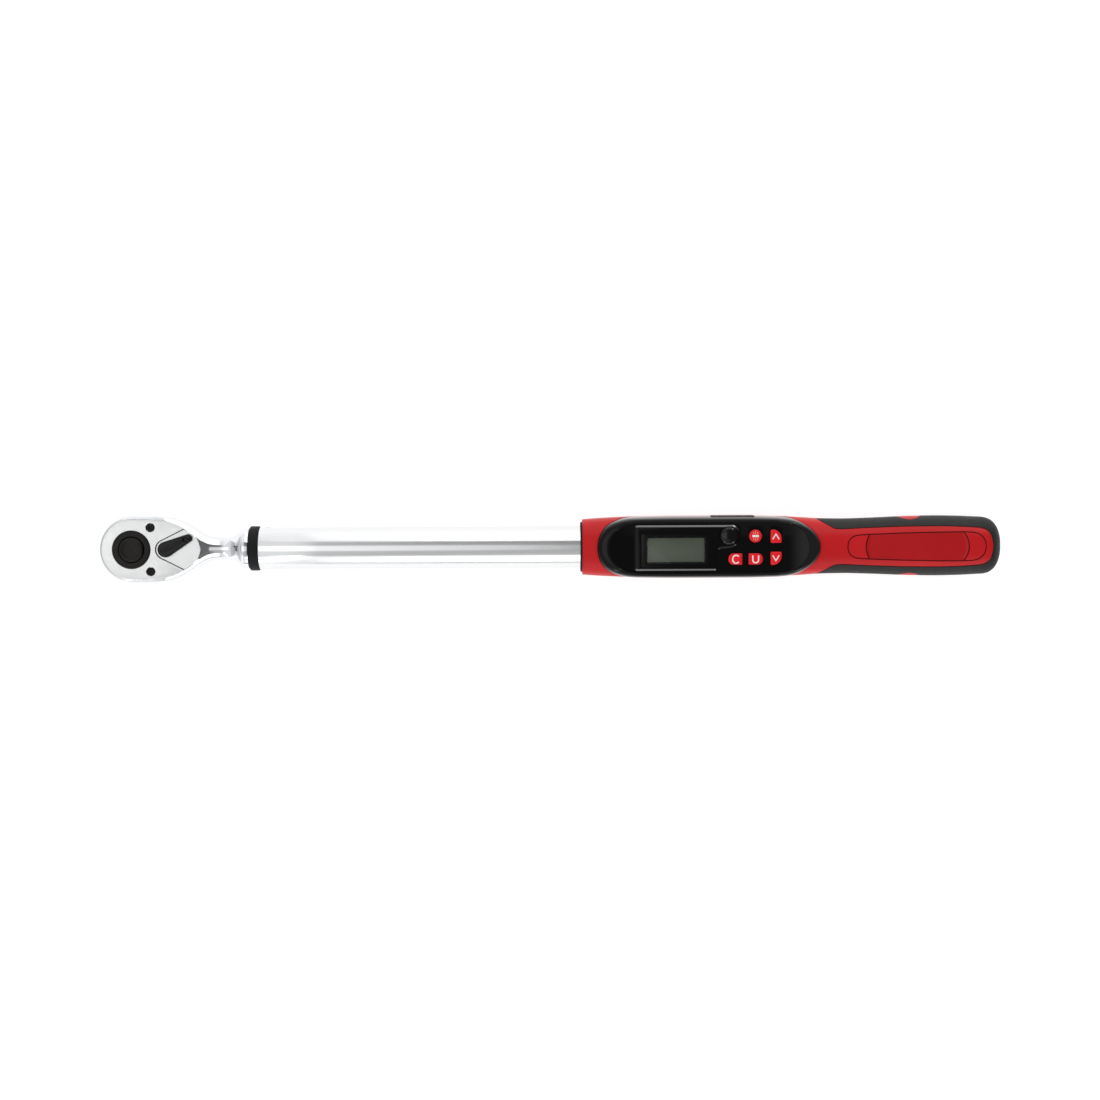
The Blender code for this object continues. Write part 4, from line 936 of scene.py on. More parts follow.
fan_arc = [(LEVER_X - 5.4 * math.cos(math.radians(a)), 5.4 * math.sin(math.radians(a))) for a in range(62, -63, -4)]
fan_pocket = offset([(LEVER_X + 24, 17.2), (LEVER_X + 9.9, 11.0), *fan_arc, (LEVER_X + 9.9, -11.0), (LEVER_X + 24, -17.2)], 0.75)
cover = finish(soft_prism(face_plan(), POCKET_Z + GAP, HEAD_T, 0.45, 4), "head_cover_face", SATIN)
screw_seat = [(0, 0), (1.8, 0), (1.8, 10.2), (2.68, 10.2), (2.68, 11.85), (2.85, 12.02), (2.85, 20), (0, 20)]
cut(
    cover,
    lathe([(0, 0), (HUB_R + GAP, 0), (HUB_R + GAP, 9.6), (11.4, 9.6), (11.4, 11.85), (11.55, 12.02), (11.55, 20), (0, 20)], steps=128),
    prism(fan_pocket, HEAD_T - 1.2, 20.0),
    rod(3.55, 0.0, 20.0, (LEVER_X, 0, 0), steps=48),
    lathe(screw_seat, (SCREW_X, SCREW_Y, 0), steps=48),
    lathe(screw_seat, (SCREW_X, -SCREW_Y, 0), steps=48),
)
trench = finish(prism(fan_pocket, HEAD_T - 1.9, HEAD_T - 1.1), "cutter", TRAY)
combine(trench, prism(offset(fan_pocket, -0.42), 5.0, 20.0), "DIFFERENCE")
combine(cover, trench, "DIFFERENCE")
# The trench's walls and floor take the near-black material: painted shade in the trench.
cover.data.materials.append(TRENCH_SHADOW)
for face in cover.data.polygons:
    low = place((0, 0, HEAD_T - 1.25)).z
    if face.center.z < low and face.center.z > place((0, 0, HEAD_T - 1.95)).z and LEVER_X - 7.0 < face.center.x * 1000 < 42.0:
        u, v = face.center.x * 1000, face.center.y * 1000
        wall = abs(face.normal.z) < 0.5 or face.center.z < place((0, 0, HEAD_T - 1.8)).z
        if wall and abs(v) < FACE_W(u) - 0.05 and math.hypot(u - LEVER_X, v) > 3.7:
            face.material_index = 1
use(cover, "wrench", "satin_chrome", "head_cover_plate")


def star(r0, r1, points=6, steps=6):
    """Six-lobed recess outline."""
    made = []
    for k in range(points * steps):
        a = 2 * math.pi * k / (points * steps)
        made.append(((r0 + r1) / 2 + (r1 - r0) / 2 * math.cos(points * a), a))
    return [(r * math.cos(a), r * math.sin(a)) for r, a in made]


def screw(name, at, head_r, head_h, shank_r, length, node, up=True, recess=1.25):
    s = -1.0 if up else 1.0
    profile = [(0, -s * -0.0), (head_r - 0.75, 0), (head_r - 0.35, s * 0.08), (head_r - 0.1, s * 0.25), (head_r, s * 0.5), (head_r, s * head_h), (shank_r, s * head_h)]
    turns = int(length - head_h - 1)
    for k in range(turns * 2):
        profile.append((shank_r - (0.16 if k % 2 else 0.0), s * (head_h + 0.6 + 0.5 * k)))
    profile += [(shank_r - 0.35, s * (length - 0.15)), (0, s * length)]
    made = finish(lathe(profile, at, "Z", 40), name, OXIDE)
    lobes = [(at[0] + u, at[1] + v) for u, v in star(recess * 0.72, recess)]
    lo, hi = sorted((at[2] - s * 1.0, at[2] + s * head_h * 0.75))
    cut(made, prism(lobes, lo, hi))
    return use(made, "wrench", "black_steel", node)


screw("cover_screw_head_1", (SCREW_X, SCREW_Y, HEAD_T - 0.1), 2.5, 1.4, 1.5, 9.5, "cover_screw_1", recess=1.45)
screw("cover_screw_head_2", (SCREW_X, -SCREW_Y, HEAD_T - 0.1), 2.5, 1.4, 1.5, 9.5, "cover_screw_2", recess=1.45)

# ------------------------------------------------------------------ drive gear, button, ball
rim = []
for k in range(TEETH):
    for phase in (0.02, 0.08, 0.44, 0.48, 0.52, 0.56, 0.92, 0.98):
        a = 2 * math.pi * (k + phase) / TEETH
        rim.append((gear_radius(phase) * math.cos(a), gear_radius(phase) * math.sin(a)))
gear = finish(prism(rim, -8.5, 8.6), "drive_hub_and_square", OXIDE)
hub = [(0, -13.0), (HUB_R - 0.5, -13.0), (HUB_R - 0.15, -12.85), (HUB_R, -12.5), (HUB_R, 8.8), (11.25, 8.8), (11.25, 11.9), (11.13, 12.2), (10.85, 12.35), (10.5, 12.4), (0, 12.4)]
c = SQUARE / 2
square = []
for sx, sy, a0 in ((1, 1, 0), (-1, 1, 90), (-1, -1, 180), (1, -1, 270)):
    for k in range(5):
        a = math.radians(a0 + 90 * k / 4)
        square.append((sx * (c - 0.9) + 0.9 * math.cos(a), sy * (c - 0.9) + 0.9 * math.sin(a)))
tip = [(f, z) for f, z in ((0.86, -AXIS_H), (0.9, -AXIS_H + 0.06), (0.95, -AXIS_H + 0.3), (0.985, -AXIS_H + 0.65), (1.0, -AXIS_H + 1.1), (1.0, -9.0))]
join(gear, lathe(hub, steps=128), skin([[(u * f, v * f, z) for u, v in square] for f, z in tip]))
cut(
    gear,
    lathe([(0, 6.0), (BUTTON_R + 0.35, 6.0), (BUTTON_R + 0.35, 12.0), (BUTTON_R + 0.7, 12.5), (BUTTON_R + 0.7, 20), (0, 20)], steps=96),
    rod(STEM_R + 0.3, BALL_Z - 6.2, 10.0, steps=32),
    rod(BALL_R + 0.2, 0.0, 10.0, (0, 0, BALL_Z), "X", steps=40),
)
use(gear, "drive", "black_steel", "drive_gear")
stem = [(0, BALL_Z - 3.2), (1.9, BALL_Z - 3.2), (STEM_R, BALL_Z - 2.7), (STEM_R, BALL_Z + 0.15), (1.85, BALL_Z + 1.2), (1.2, BALL_Z + 2.5), (1.85, BALL_Z + 3.8), (STEM_R, BALL_Z + 4.9), (STEM_R, 9.8), (BUTTON_R, 9.8)]
cap = [(BUTTON_R, 12.9), (BUTTON_R - 0.1, 13.25), (BUTTON_R - 0.4, 13.55), (BUTTON_R - 0.9, 13.72), (BUTTON_R - 1.3, 13.7), (BUTTON_R - 1.55, 13.55), (3.0, 13.5), (0, 13.48)]
button = finish(lathe(stem + cap, steps=96), "release_button_cap", OXIDE)
use(button, "quick_release", "black_steel", "release_button")
sphere = [(BALL_R * math.sin(math.pi * k / 24), -BALL_R * math.cos(math.pi * k / 24)) if 0 < k < 24 else (0, -BALL_R if k == 0 else BALL_R) for k in range(25)]
ball = finish(lathe(sphere, (BALL_X, 0, BALL_Z), steps=40), "socket_detent_ball", STEEL)
use(ball, "ball", "spring_steel", "detent_ball")

# ------------------------------------------------------------------ reversing lever
hub_z = HEAD_T - 1.2 + GAP
arm = capsule(4.7, 2.5, 15.0, 16)
levels = [(-0.15, hub_z), (0.0, hub_z + 0.15), (0.0, hub_z + 1.2), (-0.1, hub_z + 1.55), (-0.35, hub_z + 1.85), (-0.7, hub_z + 2.05), (-1.1, hub_z + 2.1)]
lever = finish(skin([[(LEVER_X + u, v, z) for u, v in offset(arm, grow)] for grow, z in levels]), "reverse_lever_arm", OXIDE)
fin_plan = [(-3.3, 0.0), (-2.6, -1.25), (-0.5, -1.45), (5.0, -1.45), (14.2, -1.5), (15.6, -1.05), (16.2, 0.0), (15.6, 1.05), (14.2, 1.5), (5.0, 1.45), (-0.5, 1.45), (-2.6, 1.25)]
fin_plan = dense(fin_plan, 4, True)


def fin_height(u):
    return hub_z + 2.45 + 1.25 * max(0.0, min(1.0, (u + 3.0) / 12.0)) ** 1.2


fin_rings = []
for grow, lift in ((0.0, None), (0.0, -0.45), (-0.12, -0.2), (-0.35, -0.05), (-0.6, 0.0)):
    plan = offset(fin_plan, grow) if grow else fin_plan
    fin_rings.append([(LEVER_X + u, v, hub_z + 1.0 if lift is None else fin_height(u) + lift) for u, v in plan])
join(
    lever,
    skin(fin_rings),
    lathe([(0, -8.2), (2.1, -8.2), (2.1, -6.9), (3.2, -6.9), (3.2, hub_z + 1.0), (0, hub_z + 1.0)], (LEVER_X, 0, 0), steps=48),
)
scoop = lathe([(0, -1.1), (1.0, -1.0), (1.35, -0.5), (1.5, 0.2), (1.5, 3.0), (0, 3.0)], (LEVER_X + 13.6, 0, hub_z + 3.4), steps=40)
cut(lever, scoop, rod(1.25, -6.0, 1.6, (LEVER_X, 0, 0), "X", steps=24))
about = place((LEVER_X, 0, 0))
lever.data.transform(Matrix.Translation(about) @ Matrix.Rotation(math.radians(LEVER_REST), 4, "Z") @ Matrix.Translation(-about))
lever.data.materials.clear()
lever.data.materials.append(LEVER_BLACK)
use(lever, "lever", "black_steel", "reverse_lever")

# ------------------------------------------------------------------ tube and rings
ring = [(10.6, 69.5), (12.9, 69.5), (13.2, 69.6), (13.33, 69.9), (13.38, 71.0), (13.4, 72.2), (13.38, 73.4), (13.33, 74.5), (13.2, 74.8), (12.9, 74.9), (10.6, 74.9)]
use(finish(lathe(ring, axis="X", steps=128), "collar_ring", SEAL), "wrench", "black_rubber", "tube_collar_ring")
tube_in = TUBE_R - TUBE_WALL
pipe = [(tube_in, TUBE_X0), (TUBE_R - 0.45, TUBE_X0), (TUBE_R - 0.12, TUBE_X0 + 0.12), (TUBE_R, TUBE_X0 + 0.45)]
pipe += [(TUBE_R, TUBE_X0 + 0.45 + (TUBE_X1 - TUBE_X0 - 0.9) * k / 12) for k in range(1, 13)]
pipe += [(TUBE_R - 0.3, TUBE_X1), (tube_in, TUBE_X1)]
pipe += [(tube_in, TUBE_X1 + (TUBE_X0 - TUBE_X1) * k / 12) for k in range(1, 12)]
tube = finish(lathe(pipe, axis="X", steps=160), "steel_tube", TUBE)
cut(
    tube,
    rod(2.3, -15.0, 15.0, (80.5, 0, 0), "Y", steps=24),
    box((295.5, -3.0, 5.0), (302.5, 3.0, 20.0)),
    box((384.5, -3.0, 5.0), (391.5, 3.0, 20.0)),
    box((446.0, -20.0, -20.0), (500.5, 20.0, -1.0)),
)
use(tube, "wrench", "polished_chrome", "tube")
seal = [(13.1, 267.1), (14.4, 267.1), (14.8, 267.25), (15.0, 267.6), (15.0, 272.0), (13.1, 272.0)]
use(finish(lathe(seal, axis="X", steps=128), "nose_seal", SEAL), "wrench", "black_rubber", "front_seal")
pin = [(0, -12.45), (1.7, -12.45), (2.0, -12.1), (2.0, 12.1), (1.7, 12.45), (0, 12.45)]
use(finish(lathe(pin, (80.5, 0, 0), "Y", 48), "retaining_pin", STEEL), "wrench", "spring_steel", "head_retaining_pin")


# ------------------------------------------------------------------ housing
PANEL_HALF = table([(425.5, 0.0), (425.9, 2.6), (427.3, 4.9), (429.8, 6.4), (433.5, 7.0), (445, 7.55), (463, 8.15), (480, 8.5), (493, 8.6), (499.5, 8.35), (503.8, 7.0), (506.4, 4.3), (507.2, 2.0), (507.4, 0.0)])
PANEL_XS = (425.5, 425.6, 425.9, 426.5, 427.3, 428.4, 429.8, 431.5, 433.5, 438, 445, 454, 463, 472, 480, 487, 493, 496.5, 499.5, 501.8, 503.8, 505.3, 506.4, 507.0, 507.3, 507.4)


def arc_line(x, bow, half, sign):
    """Groove across the panel, bowed by bow towards sign X."""
    return [(x + sign * bow * (1 - (y / half) ** 2), y) for y in [half * k / 12 for k in range(-12, 13)]]


def dish(x, y):
    """How far the grip's middle panel sinks below the shell's skin."""
    left = 438.3 - 2.0 * (1 - (y / 7.3) ** 2)
    right = 494.4 + 2.9 * (1 - (y / 8.5) ** 2)
    if not (left < x < right):
        return 0.0
    edge = min(x - left, right - x, PANEL_HALF(x) - abs(y))
    t = max(0.0, min(1.0, edge / 1.6))
    return (0.5 + 0.45 * (1 - (y / 8.6) ** 2)) * t * t * (3 - 2 * t)


def half_shell(upper, inset=0.0, split=SPLIT, x0=NOSE_X, arc=72, n=BODY_N, step=1.7, dished=False):
    """Half of the housing's solid, above or below the split line, with its skin moved in by inset."""
    stations = [x0]
    while stations[-1] < ROUND_X - step:
        stations.append(stations[-1] + step)
    span = END_X - inset - ROUND_X
    stations += [ROUND_X + span * math.sin(math.pi / 2 * k / 22) ** 0.9 for k in range(23)]
    if dished:
        fine = [(435.4, 440.2), (493.6, 499.2)]
        stations = [x for x in stations if not any(a - 0.2 < x < b + 0.2 for a, b in fine)]
        stations = sorted(stations + [a + (b - a) * k / 12 for a, b in fine for k in range(13)])
    height = TOP_H if upper else LOW_H
    sign = 1.0 if upper else -1.0
    rings = []
    for x in stations:
        f = end_factor(x, inset)
        w, h = (HALF_W(x) - inset) * f, (height(x) - inset) * f
        row = []
        for j in range(arc + 1):
            a = math.pi * j / arc
            c, sn = math.cos(a), math.sin(a)
            y = w * math.copysign(abs(c) ** (2 / n) if abs(c) > 1e-9 else 0.0, c)
            z = split + (h - split) * (abs(sn) ** (2 / n) if sn > 1e-9 else 0.0)
            if dished and z > 8:
                z -= dish(x, y)
            row.append((x, y, sign * z))
        rings.append(row)
    return skin(rings)


def core(grow=0.0, low=-2.0):
    """The upper shell's inner deck, which the bezel fits over. grow swells it for the cutter that hollows the bezel."""
    rings = []
    for x in (278.5 - grow, 286, 296, 310, 330, 355, 380, 392, 400, 407.5 + grow):
        w, h = HALF_W(x) - 2.05 + grow, 14.1 + grow
        row = [(x, w, low)]
        for j in range(1, 12):
            c, sn = math.cos(math.pi * j / 12), math.sin(math.pi * j / 12)
            row.append((x, w * math.copysign(abs(c) ** (2 / 3.4), c) if j != 6 else 0.0, h * sn ** (2 / 3.4)))
        rings.append([*row, (x, -w, low)])
    return skin(rings)


STRIP_FINE = dense(STRIP, 5)


def soft_plan(grow=0.0):
    """Plan of the soft grip: both sides and the end, outside the red strip. grow widens it."""
    inner = [(x - (grow if x < 420 else 0), y - grow) if y > 6 else (x - grow, y) for x, y in STRIP_FINE]
    upper = [(401.0 - grow, 24.0), *inner]
    return [*upper, *[(x, -y) for x, y in reversed(upper[:-1])], (530.0, -30.0), (530.0, 30.0)]


def soft_cutter(upper):
    made = finish(prism(soft_plan(0.12), -0.5 if upper else -40.0, 40.0 if upper else 0.5), "cutter", TRAY)
    combine(made, half_shell(upper, RUBBER_T + GAP, -3.0, 395.0, arc=40, step=4.0), "DIFFERENCE")
    combine(made, prism(oval(7.15, 9.75, steps=56), -40.0, 40.0, "Y"), "DIFFERENCE")
    return made


OUTER_FINE, INNER_FINE = dense(OUTER, 5), dense(INNER, 5)
BEZEL_PLAN = both_sides([(x, y + 0.14 if y > 0.5 else y) for x, y in [(OUTER[0][0] - 0.14, 0), *OUTER_FINE[1:-1], (OUTER[-1][0] + 0.14, 0)]])


def on_top(points, lift=0.0):
    return [(x, y, body_top(x, y) - dish(x, y) + lift) for x, y in points]


upper_shell = finish(half_shell(True, dished=True), "upper_housing", RED)
cut(upper_shell, prism(BEZEL_PLAN, -5.0, 40.0))
join(upper_shell, core(0.0, SPLIT))
panel_line = [(x, PANEL_HALF(x)) for x in PANEL_XS]
panel_loop = [*panel_line, *[(x, -y) for x, y in reversed(panel_line[1:-1])]]


def groove(points, radius, lift, closed=False):
    """Round bar along points of the grip's top skin, as the cutter for a groove."""
    path = [Vector(p) for p in on_top(points, lift)]
    rings = []
    n = len(path)
    for k in range(n):
        a, b = (path[(k - 1) % n], path[(k + 1) % n]) if closed else (path[max(k - 1, 0)], path[min(k + 1, n - 1)])
        d = (b - a).normalized()
        side = d.cross(Vector((0, 0, 1))).normalized()
        up = side.cross(d)
        rings.append([path[k] + (side * math.cos(2 * math.pi * j / 10) + up * math.sin(2 * math.pi * j / 10)) * radius for j in range(10)])
    return skin(rings, caps=not closed, closed=closed)


cut(
    upper_shell,
    bore(),
    soft_cutter(True),
    groove(arc_line(438.3, 2.0, 6.85, -1), 0.34, -0.02),
    groove(arc_line(494.4, 2.9, 8.15, 1), 0.34, -0.02),
    groove(panel_loop, 0.36, 0.03, True),
    groove([*STRIP_FINE, *[(x, -y) for x, y in reversed(STRIP_FINE[:-1])]], 0.5, -0.05),
    box((294.5, -4.0, 8.0), (303.5, 4.0, 20.0)),
    box((383.5, -4.0, 8.0), (392.5, 4.0, 20.0)),
    box((353.2, 9.8, 10.6), (363.2, 25.0, 20.0)),
)
upper_shell.data.materials.append(RED_PANEL_SHADE)
upper_shell.data.materials.append(RED_GROOVE_SHADE)
GROOVE_LINES = [[*panel_loop, panel_loop[0]], arc_line(438.3, 2.0, 6.85, -1), arc_line(494.4, 2.9, 8.15, 1)]


def to_line(u, v, lines=GROOVE_LINES):
    """Distance in plan from a point to the nearest of the given lines, the panel's grooves unless told otherwise."""
    best = 99.0
    for line in lines:
        for (ax, ay), (bx, by) in zip(line, line[1:]):
            t = ((u - ax) * (bx - ax) + (v - ay) * (by - ay)) / max(1e-9, (bx - ax) ** 2 + (by - ay) ** 2)
            t = max(0.0, min(1.0, t))
            best = min(best, math.hypot(u - ax - t * (bx - ax), v - ay - t * (by - ay)))
    return best


for face in upper_shell.data.polygons:
    u, v, w = (c * 1000 for c in face.center)
    # Faces inside the grooves take the near-black red: painted shade in the grooves.
    if w > AXIS_H + 12 and 424 < u < 509 and abs(v) < 10 and body_top(u, v) - dish(u, v) - (w - AXIS_H) > 0.02 and to_line(u, v) < 0.36:
        face.material_index = 2
        continue
    # The panel's upward faces between the arcs take the darker red: painted shade of the dish.
    if face.normal.z > 0.3 and w > AXIS_H + 13 and abs(v) < PANEL_HALF(u) - 0.1 and 438.3 - 2.0 * (1 - (v / 6.9) ** 2) < u < 494.4 + 2.9 * (1 - (v / 8.2) ** 2):
        face.material_index = 1
use(upper_shell, "wrench", "red_plastic", "upper_shell")

lower_shell = finish(half_shell(False), "lower_housing", RED)
cut(
    lower_shell,
    bore(),
    soft_cutter(False),
    prism([(-11.8, 1.0), (-11.8, -8.5), (-9.2, -12.6), (9.2, -12.6), (11.8, -8.5), (11.8, 1.0)], 445.5, 501.0, "X"),
    prism(rounded_box(DOOR_X0 - 0.25, DOOR_X1 + 0.25, -DOOR_Y - 0.25, DOOR_Y + 0.25, 4.2, 12), -40.0, -10.0),
)
for k, x in enumerate((289.0, 402.0)):
    cut(lower_shell, lathe([(0, -30), (2.5, -30), (2.5, -14.9), (1.45, -14.9), (1.45, 2), (0, 2)], (x, 0, 0), steps=40))
    screw(f"tube_screw_head_{k + 1}", (x, 0, -17.0), 2.2, 1.8, 1.15, 6.0, f"tube_screw_{k + 1}", up=False)
for k, y in enumerate((6.0, -6.0)):
    cut(lower_shell, lathe([(0, -30), (2.5, -30), (2.5, -8.0), (1.45, -8.0), (1.45, 2), (0, 2)], (506.3, y, 0), steps=40))
    screw(f"end_screw_head_{k + 1}", (506.3, y, -10.1), 2.2, 1.8, 1.15, 15.9, f"end_screw_{k + 1}", up=False)
use(lower_shell, "wrench", "red_plastic", "lower_shell")

for upper, name, node in ((True, "upper_soft_grip", "upper_grip_rubber"), (False, "lower_soft_grip", "lower_grip_rubber")):
    soft = finish(half_shell(upper), name, RUBBER)
    combine(soft, prism(soft_plan(), -50.0, 50.0), "INTERSECT")
    cut(soft, half_shell(upper, RUBBER_T, -3.0, 395.0, arc=40, step=4.0), prism(oval(7.3, 9.9, steps=56), -40.0, 40.0, "Y"))
    use(soft, "wrench", "black_rubber", node)

# ------------------------------------------------------------------ display bezel
x0, x1, y0, y1 = WINDOW_BOX


def bezel_solid():
    """The bezel's outer solid: an outline that follows the housing's skin, a rounded shoulder, a lip and a flat panel."""
    m = 2.3
    rings = [[(x, y, GAP) for x, y in OUTER_FINE]]
    for k in range(17):
        f = math.cos(math.pi / 2 * k / 16)
        row = []
        for (ox, oy), (ix, iy) in zip(OUTER_FINE, INNER_FINE):
            low, high = max(body_top(ox, oy), GAP + 0.4), crown(ix)
            row.append((ix + (ox - ix) * f, iy + (oy - iy) * f, low + (high - low) * (1 - f**m) ** (1 / m)))
        rings.append(row)
    centre = 343.0
    for scale_x, scale_y, drop in ((0.9975, 0.987, 0.03), (0.995, 0.976, 0.22), (0.992, 0.967, 0.3)):
        rings.append([(centre + (x - centre) * scale_x, y * scale_y, crown(x) - drop) for x, y in INNER_FINE])
    bm = bmesh.new()
    loops = []
    for row in rings:
        up = [bm.verts.new(place(p)) for p in row]
        down = [up[0], *[bm.verts.new(place((x, -y, z))) for x, y, z in row[1:-1]], up[-1]]
        loops.append((up, down))
    for (ua, da), (ub, db) in zip(loops, loops[1:]):
        for k in range(len(ua) - 1):
            bm.faces.new([ua[k], ua[k + 1], ub[k + 1], ub[k]])
            bm.faces.new([da[k + 1], da[k], db[k], db[k + 1]])
    for up, down in (loops[0], loops[-1]):
        for k in range(len(up) - 1):
            corners = []
            for v in (up[k], up[k + 1], down[k + 1], down[k]):
                if v not in corners:
                    corners.append(v)
            bm.faces.new(corners)
    return bm


led_arc = [(LED_AT[0] + 7.0 * math.cos(math.radians(a)), LED_AT[1] + 7.0 * math.sin(math.radians(a))) for a in range(-84, 73, 6)]
frame_plan = [(300.4, -13.5), (346.2, -13.5), (346.9, -13.25), (347.35, -12.7), (347.5, -12.0), (347.5, -4.2), (347.6, -3.1), (347.9, -2.2), (348.4, -1.5), (349.1, -0.9), (350.0, -0.5), (351.3, -0.35), (353.0, -0.4), *led_arc]
frame_plan += [(356.0, 13.4), (300.4, 13.4), (299.6, 13.15), (299.05, 12.6), (298.8, 11.8), (298.8, -11.9), (299.05, -12.7), (299.6, -13.25)]
KEYS = {
    "key_power": circle(*POWER_AT, 3.75, 56),
    "key_up": corner_rounded(379.2, 385.7, 2.8, 10.6, (5.2, 1.1, 0.6, 0.8), 10),
    "key_down": corner_rounded(379.2, 385.7, -10.3, -2.5, (0.8, 0.6, 1.1, 5.2), 10),
    "key_clear": corner_rounded(354.3, 362.5, -10.0, -3.4, (0.6, 3.0, 3.0, 0.6), 10),
    "key_unit": corner_rounded(366.2, 374.6, -10.0, -3.4, (3.0, 0.6, 0.6, 3.0), 10),
}
bezel = finish(bezel_solid(), "display_surround", BEZEL)
frame_levels = [(0.0, 19.6), (0.0, 20.95), (-0.06, 21.04), (-0.95, 21.5), (-1.1, 21.56), (-1.2, 21.58)]
join(bezel, skin([[(u, v, z) for u, v in (offset(frame_plan, grow) if grow else frame_plan)] for grow, z in frame_levels]))
rim_path = [Vector((x, y, crown(x) - 0.02)) for x, y in both_sides([(INNER_FINE[0][0] + 0.12, 0), *[(x, y - 0.12) for x, y in INNER_FINE[2:-2]], (INNER_FINE[-1][0] - 0.12, 0)])]
rim_line = [(at.x, at.y) for at in [*rim_path, rim_path[0]]]
rim_rings = []
for k, at in enumerate(rim_path):
    d = (rim_path[(k + 1) % len(rim_path)] - rim_path[k - 1]).normalized()
    side = d.cross(Vector((0, 0, 1))).normalized()
    rim_rings.append([at + (side * math.cos(2 * math.pi * j / 8) + Vector((0, 0, 1)) * math.sin(2 * math.pi * j / 8)) * 0.34 for j in range(8)])
cut(bezel, skin(rim_rings, caps=False, closed=True))
glass_hole = rounded_box(x0 - 0.2, x1 + 0.2, y0 - 0.2, y1 + 0.2, 1.2, 6)
cut(
    bezel,
    core(GAP, -6.0),
    prism(offset(both_sides(INNER_FINE), -1.4), 12.0, 19.0),
    rod(BORE_R + GAP, 260.0, 420.0, axis="X", steps=96),
    prism(glass_hole, 19.9, 30.0),
    prism(rounded_box(304.8, 342.0, -10.4, 7.2, 1.0, 6), 16.0, 30.0),
    lathe([(0, 16), (5.5, 16), (5.5, 21.3), (5.9, 21.7), (5.9, 30), (0, 30)], (*LED_AT, 0), steps=64),
    *[prism(offset(outline, 0.22), 16.0, 30.0) for outline in KEYS.values()],
    box((344.5, 17.2, 5.5), (370.4, 30.0, 15.3)),
    box((353.2, 12.0, 10.6), (363.2, 30.0, 14.7)),
)
for extra in (EDGE_HIGHLIGHT, BEZEL_SIDE, TRENCH_SHADOW):
    bezel.data.materials.append(extra)
for face in bezel.data.polygons:
    u, v, w = (c * 1000 for c in face.center)
    if u > 384.0 and w > AXIS_H + 8:
        near = min(range(len(rim_path)), key=lambda k: (rim_path[k].x - u) ** 2 + (rim_path[k].y - v) ** 2)
        outside = math.hypot((u - 343.0), v) > math.hypot(rim_path[near].x - 343.0, rim_path[near].y)
        # Rim groove faces at the right end take the near-black material: painted shade in the groove.
        if u > 392.0 and w < AXIS_H + crown(u) - 0.03 and to_line(u, v, [rim_line]) < 0.36:
            face.material_index = 3
        elif outside:
            face.material_index = 2
    # Frame faces that face the side lamps take the strongly reflecting copy: a painted highlight.
    if 298.0 < u < 363.0 and 10.5 < abs(v) < 14.5 and w > AXIS_H + 20.86 and 0.15 < face.normal.z < 0.99 and abs(face.normal.y) > 0.25:
        face.material_index = 1
use(bezel, "wrench", "black_bezel", "display_bezel")

pane = finish(soft_prism(rounded_box(x0 + 0.1, x1 - 0.1, y0 + 0.1, y1 - 0.1, 1.0, 6), 20.1, 20.5, 0.08, 2), "window_pane", PANE)
use(pane, "wrench", "clear_window", "display_window")
border = finish(soft_prism(rounded_box(x0, x1, y0, y1, 1.0, 6), 20.55, 21.0, 0.15, 3), "window_border", MASK)
cut(border, prism(rounded_box(305.9, 341.0, -9.3, 6.6, 0.7, 6), 16.0, 30.0))
use(border, "wrench", "black_bezel")
lcd = finish(box((303.6, -12.6, 17.3), (343.2, 11.2, 18.55)), "lcd_cell", MASK)
face = finish(soft_prism(rounded_box(306.7, 340.2, -8.4, 5.7, 0.5, 4), 18.6, 18.72, 0.04, 2), "lcd_area", LCD)
use(lcd, "wrench", "lcd_glass", "lcd_panel")
use(face, "wrench", "lcd_glass")
dome = [(0, 18.0), (6.2, 18.0), (6.2, 18.7), (5.3, 18.7), (5.3, 21.1)]
dome += [(5.3 * math.cos(math.radians(a)), 21.1 + 1.6 * math.sin(math.radians(a))) for a in range(6, 90, 6)] + [(0, 22.7)]
use(finish(lathe(dome, (*LED_AT, 0), steps=72), "indicator_lens", LENS), "wrench", "smoked_lens", "led_lens")


# ------------------------------------------------------------------ keys and their printed symbols
def stroke(points, width, z0=21.36, z1=21.46):
    """Flat bar of a given width along a polyline, as a thin print."""
    left, right = [], []
    for k, p in enumerate(points):
        a, b = Vector(points[max(k - 1, 0)]), Vector(points[min(k + 1, len(points) - 1)])
        d = (b - a).normalized()
        n = Vector((-d.y, d.x))
        if 0 < k < len(points) - 1:
            d0 = (Vector(p) - a).normalized()
            n0 = Vector((-d0.y, d0.x))
            n = n / max(0.5, n.dot(n0))
        left.append(tuple(Vector(p) + n * width / 2))
        right.append(tuple(Vector(p) - n * width / 2))
    return prism([*left, *reversed(right)], z0, z1)


KEY_BODY = {"key_power": "power_key", "key_up": "up_key", "key_down": "down_key", "key_clear": "clear_key", "key_unit": "unit_key"}
for name, outline in KEYS.items():
    levels = [(0.6, 18.0), (0.6, 18.7), (0.0, 18.7), (0.0, 20.9), (-0.06, 21.1), (-0.2, 21.27), (-0.42, 21.37), (-0.75, 21.4)]
    cap_piece = finish(skin([[(u, v, z) for u, v in (offset(outline, grow) if grow else outline)] for grow, z in levels]), name + "_cap", KEY)
    use(cap_piece, KEY_BODY[name], "key_red", name)


def symbol(name, body, *shapes, mat=None):
    for k, shape in enumerate(shapes):
        piece = finish(shape, f"{name}_{k + 1}", mat or LEGEND)
        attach(piece, body)


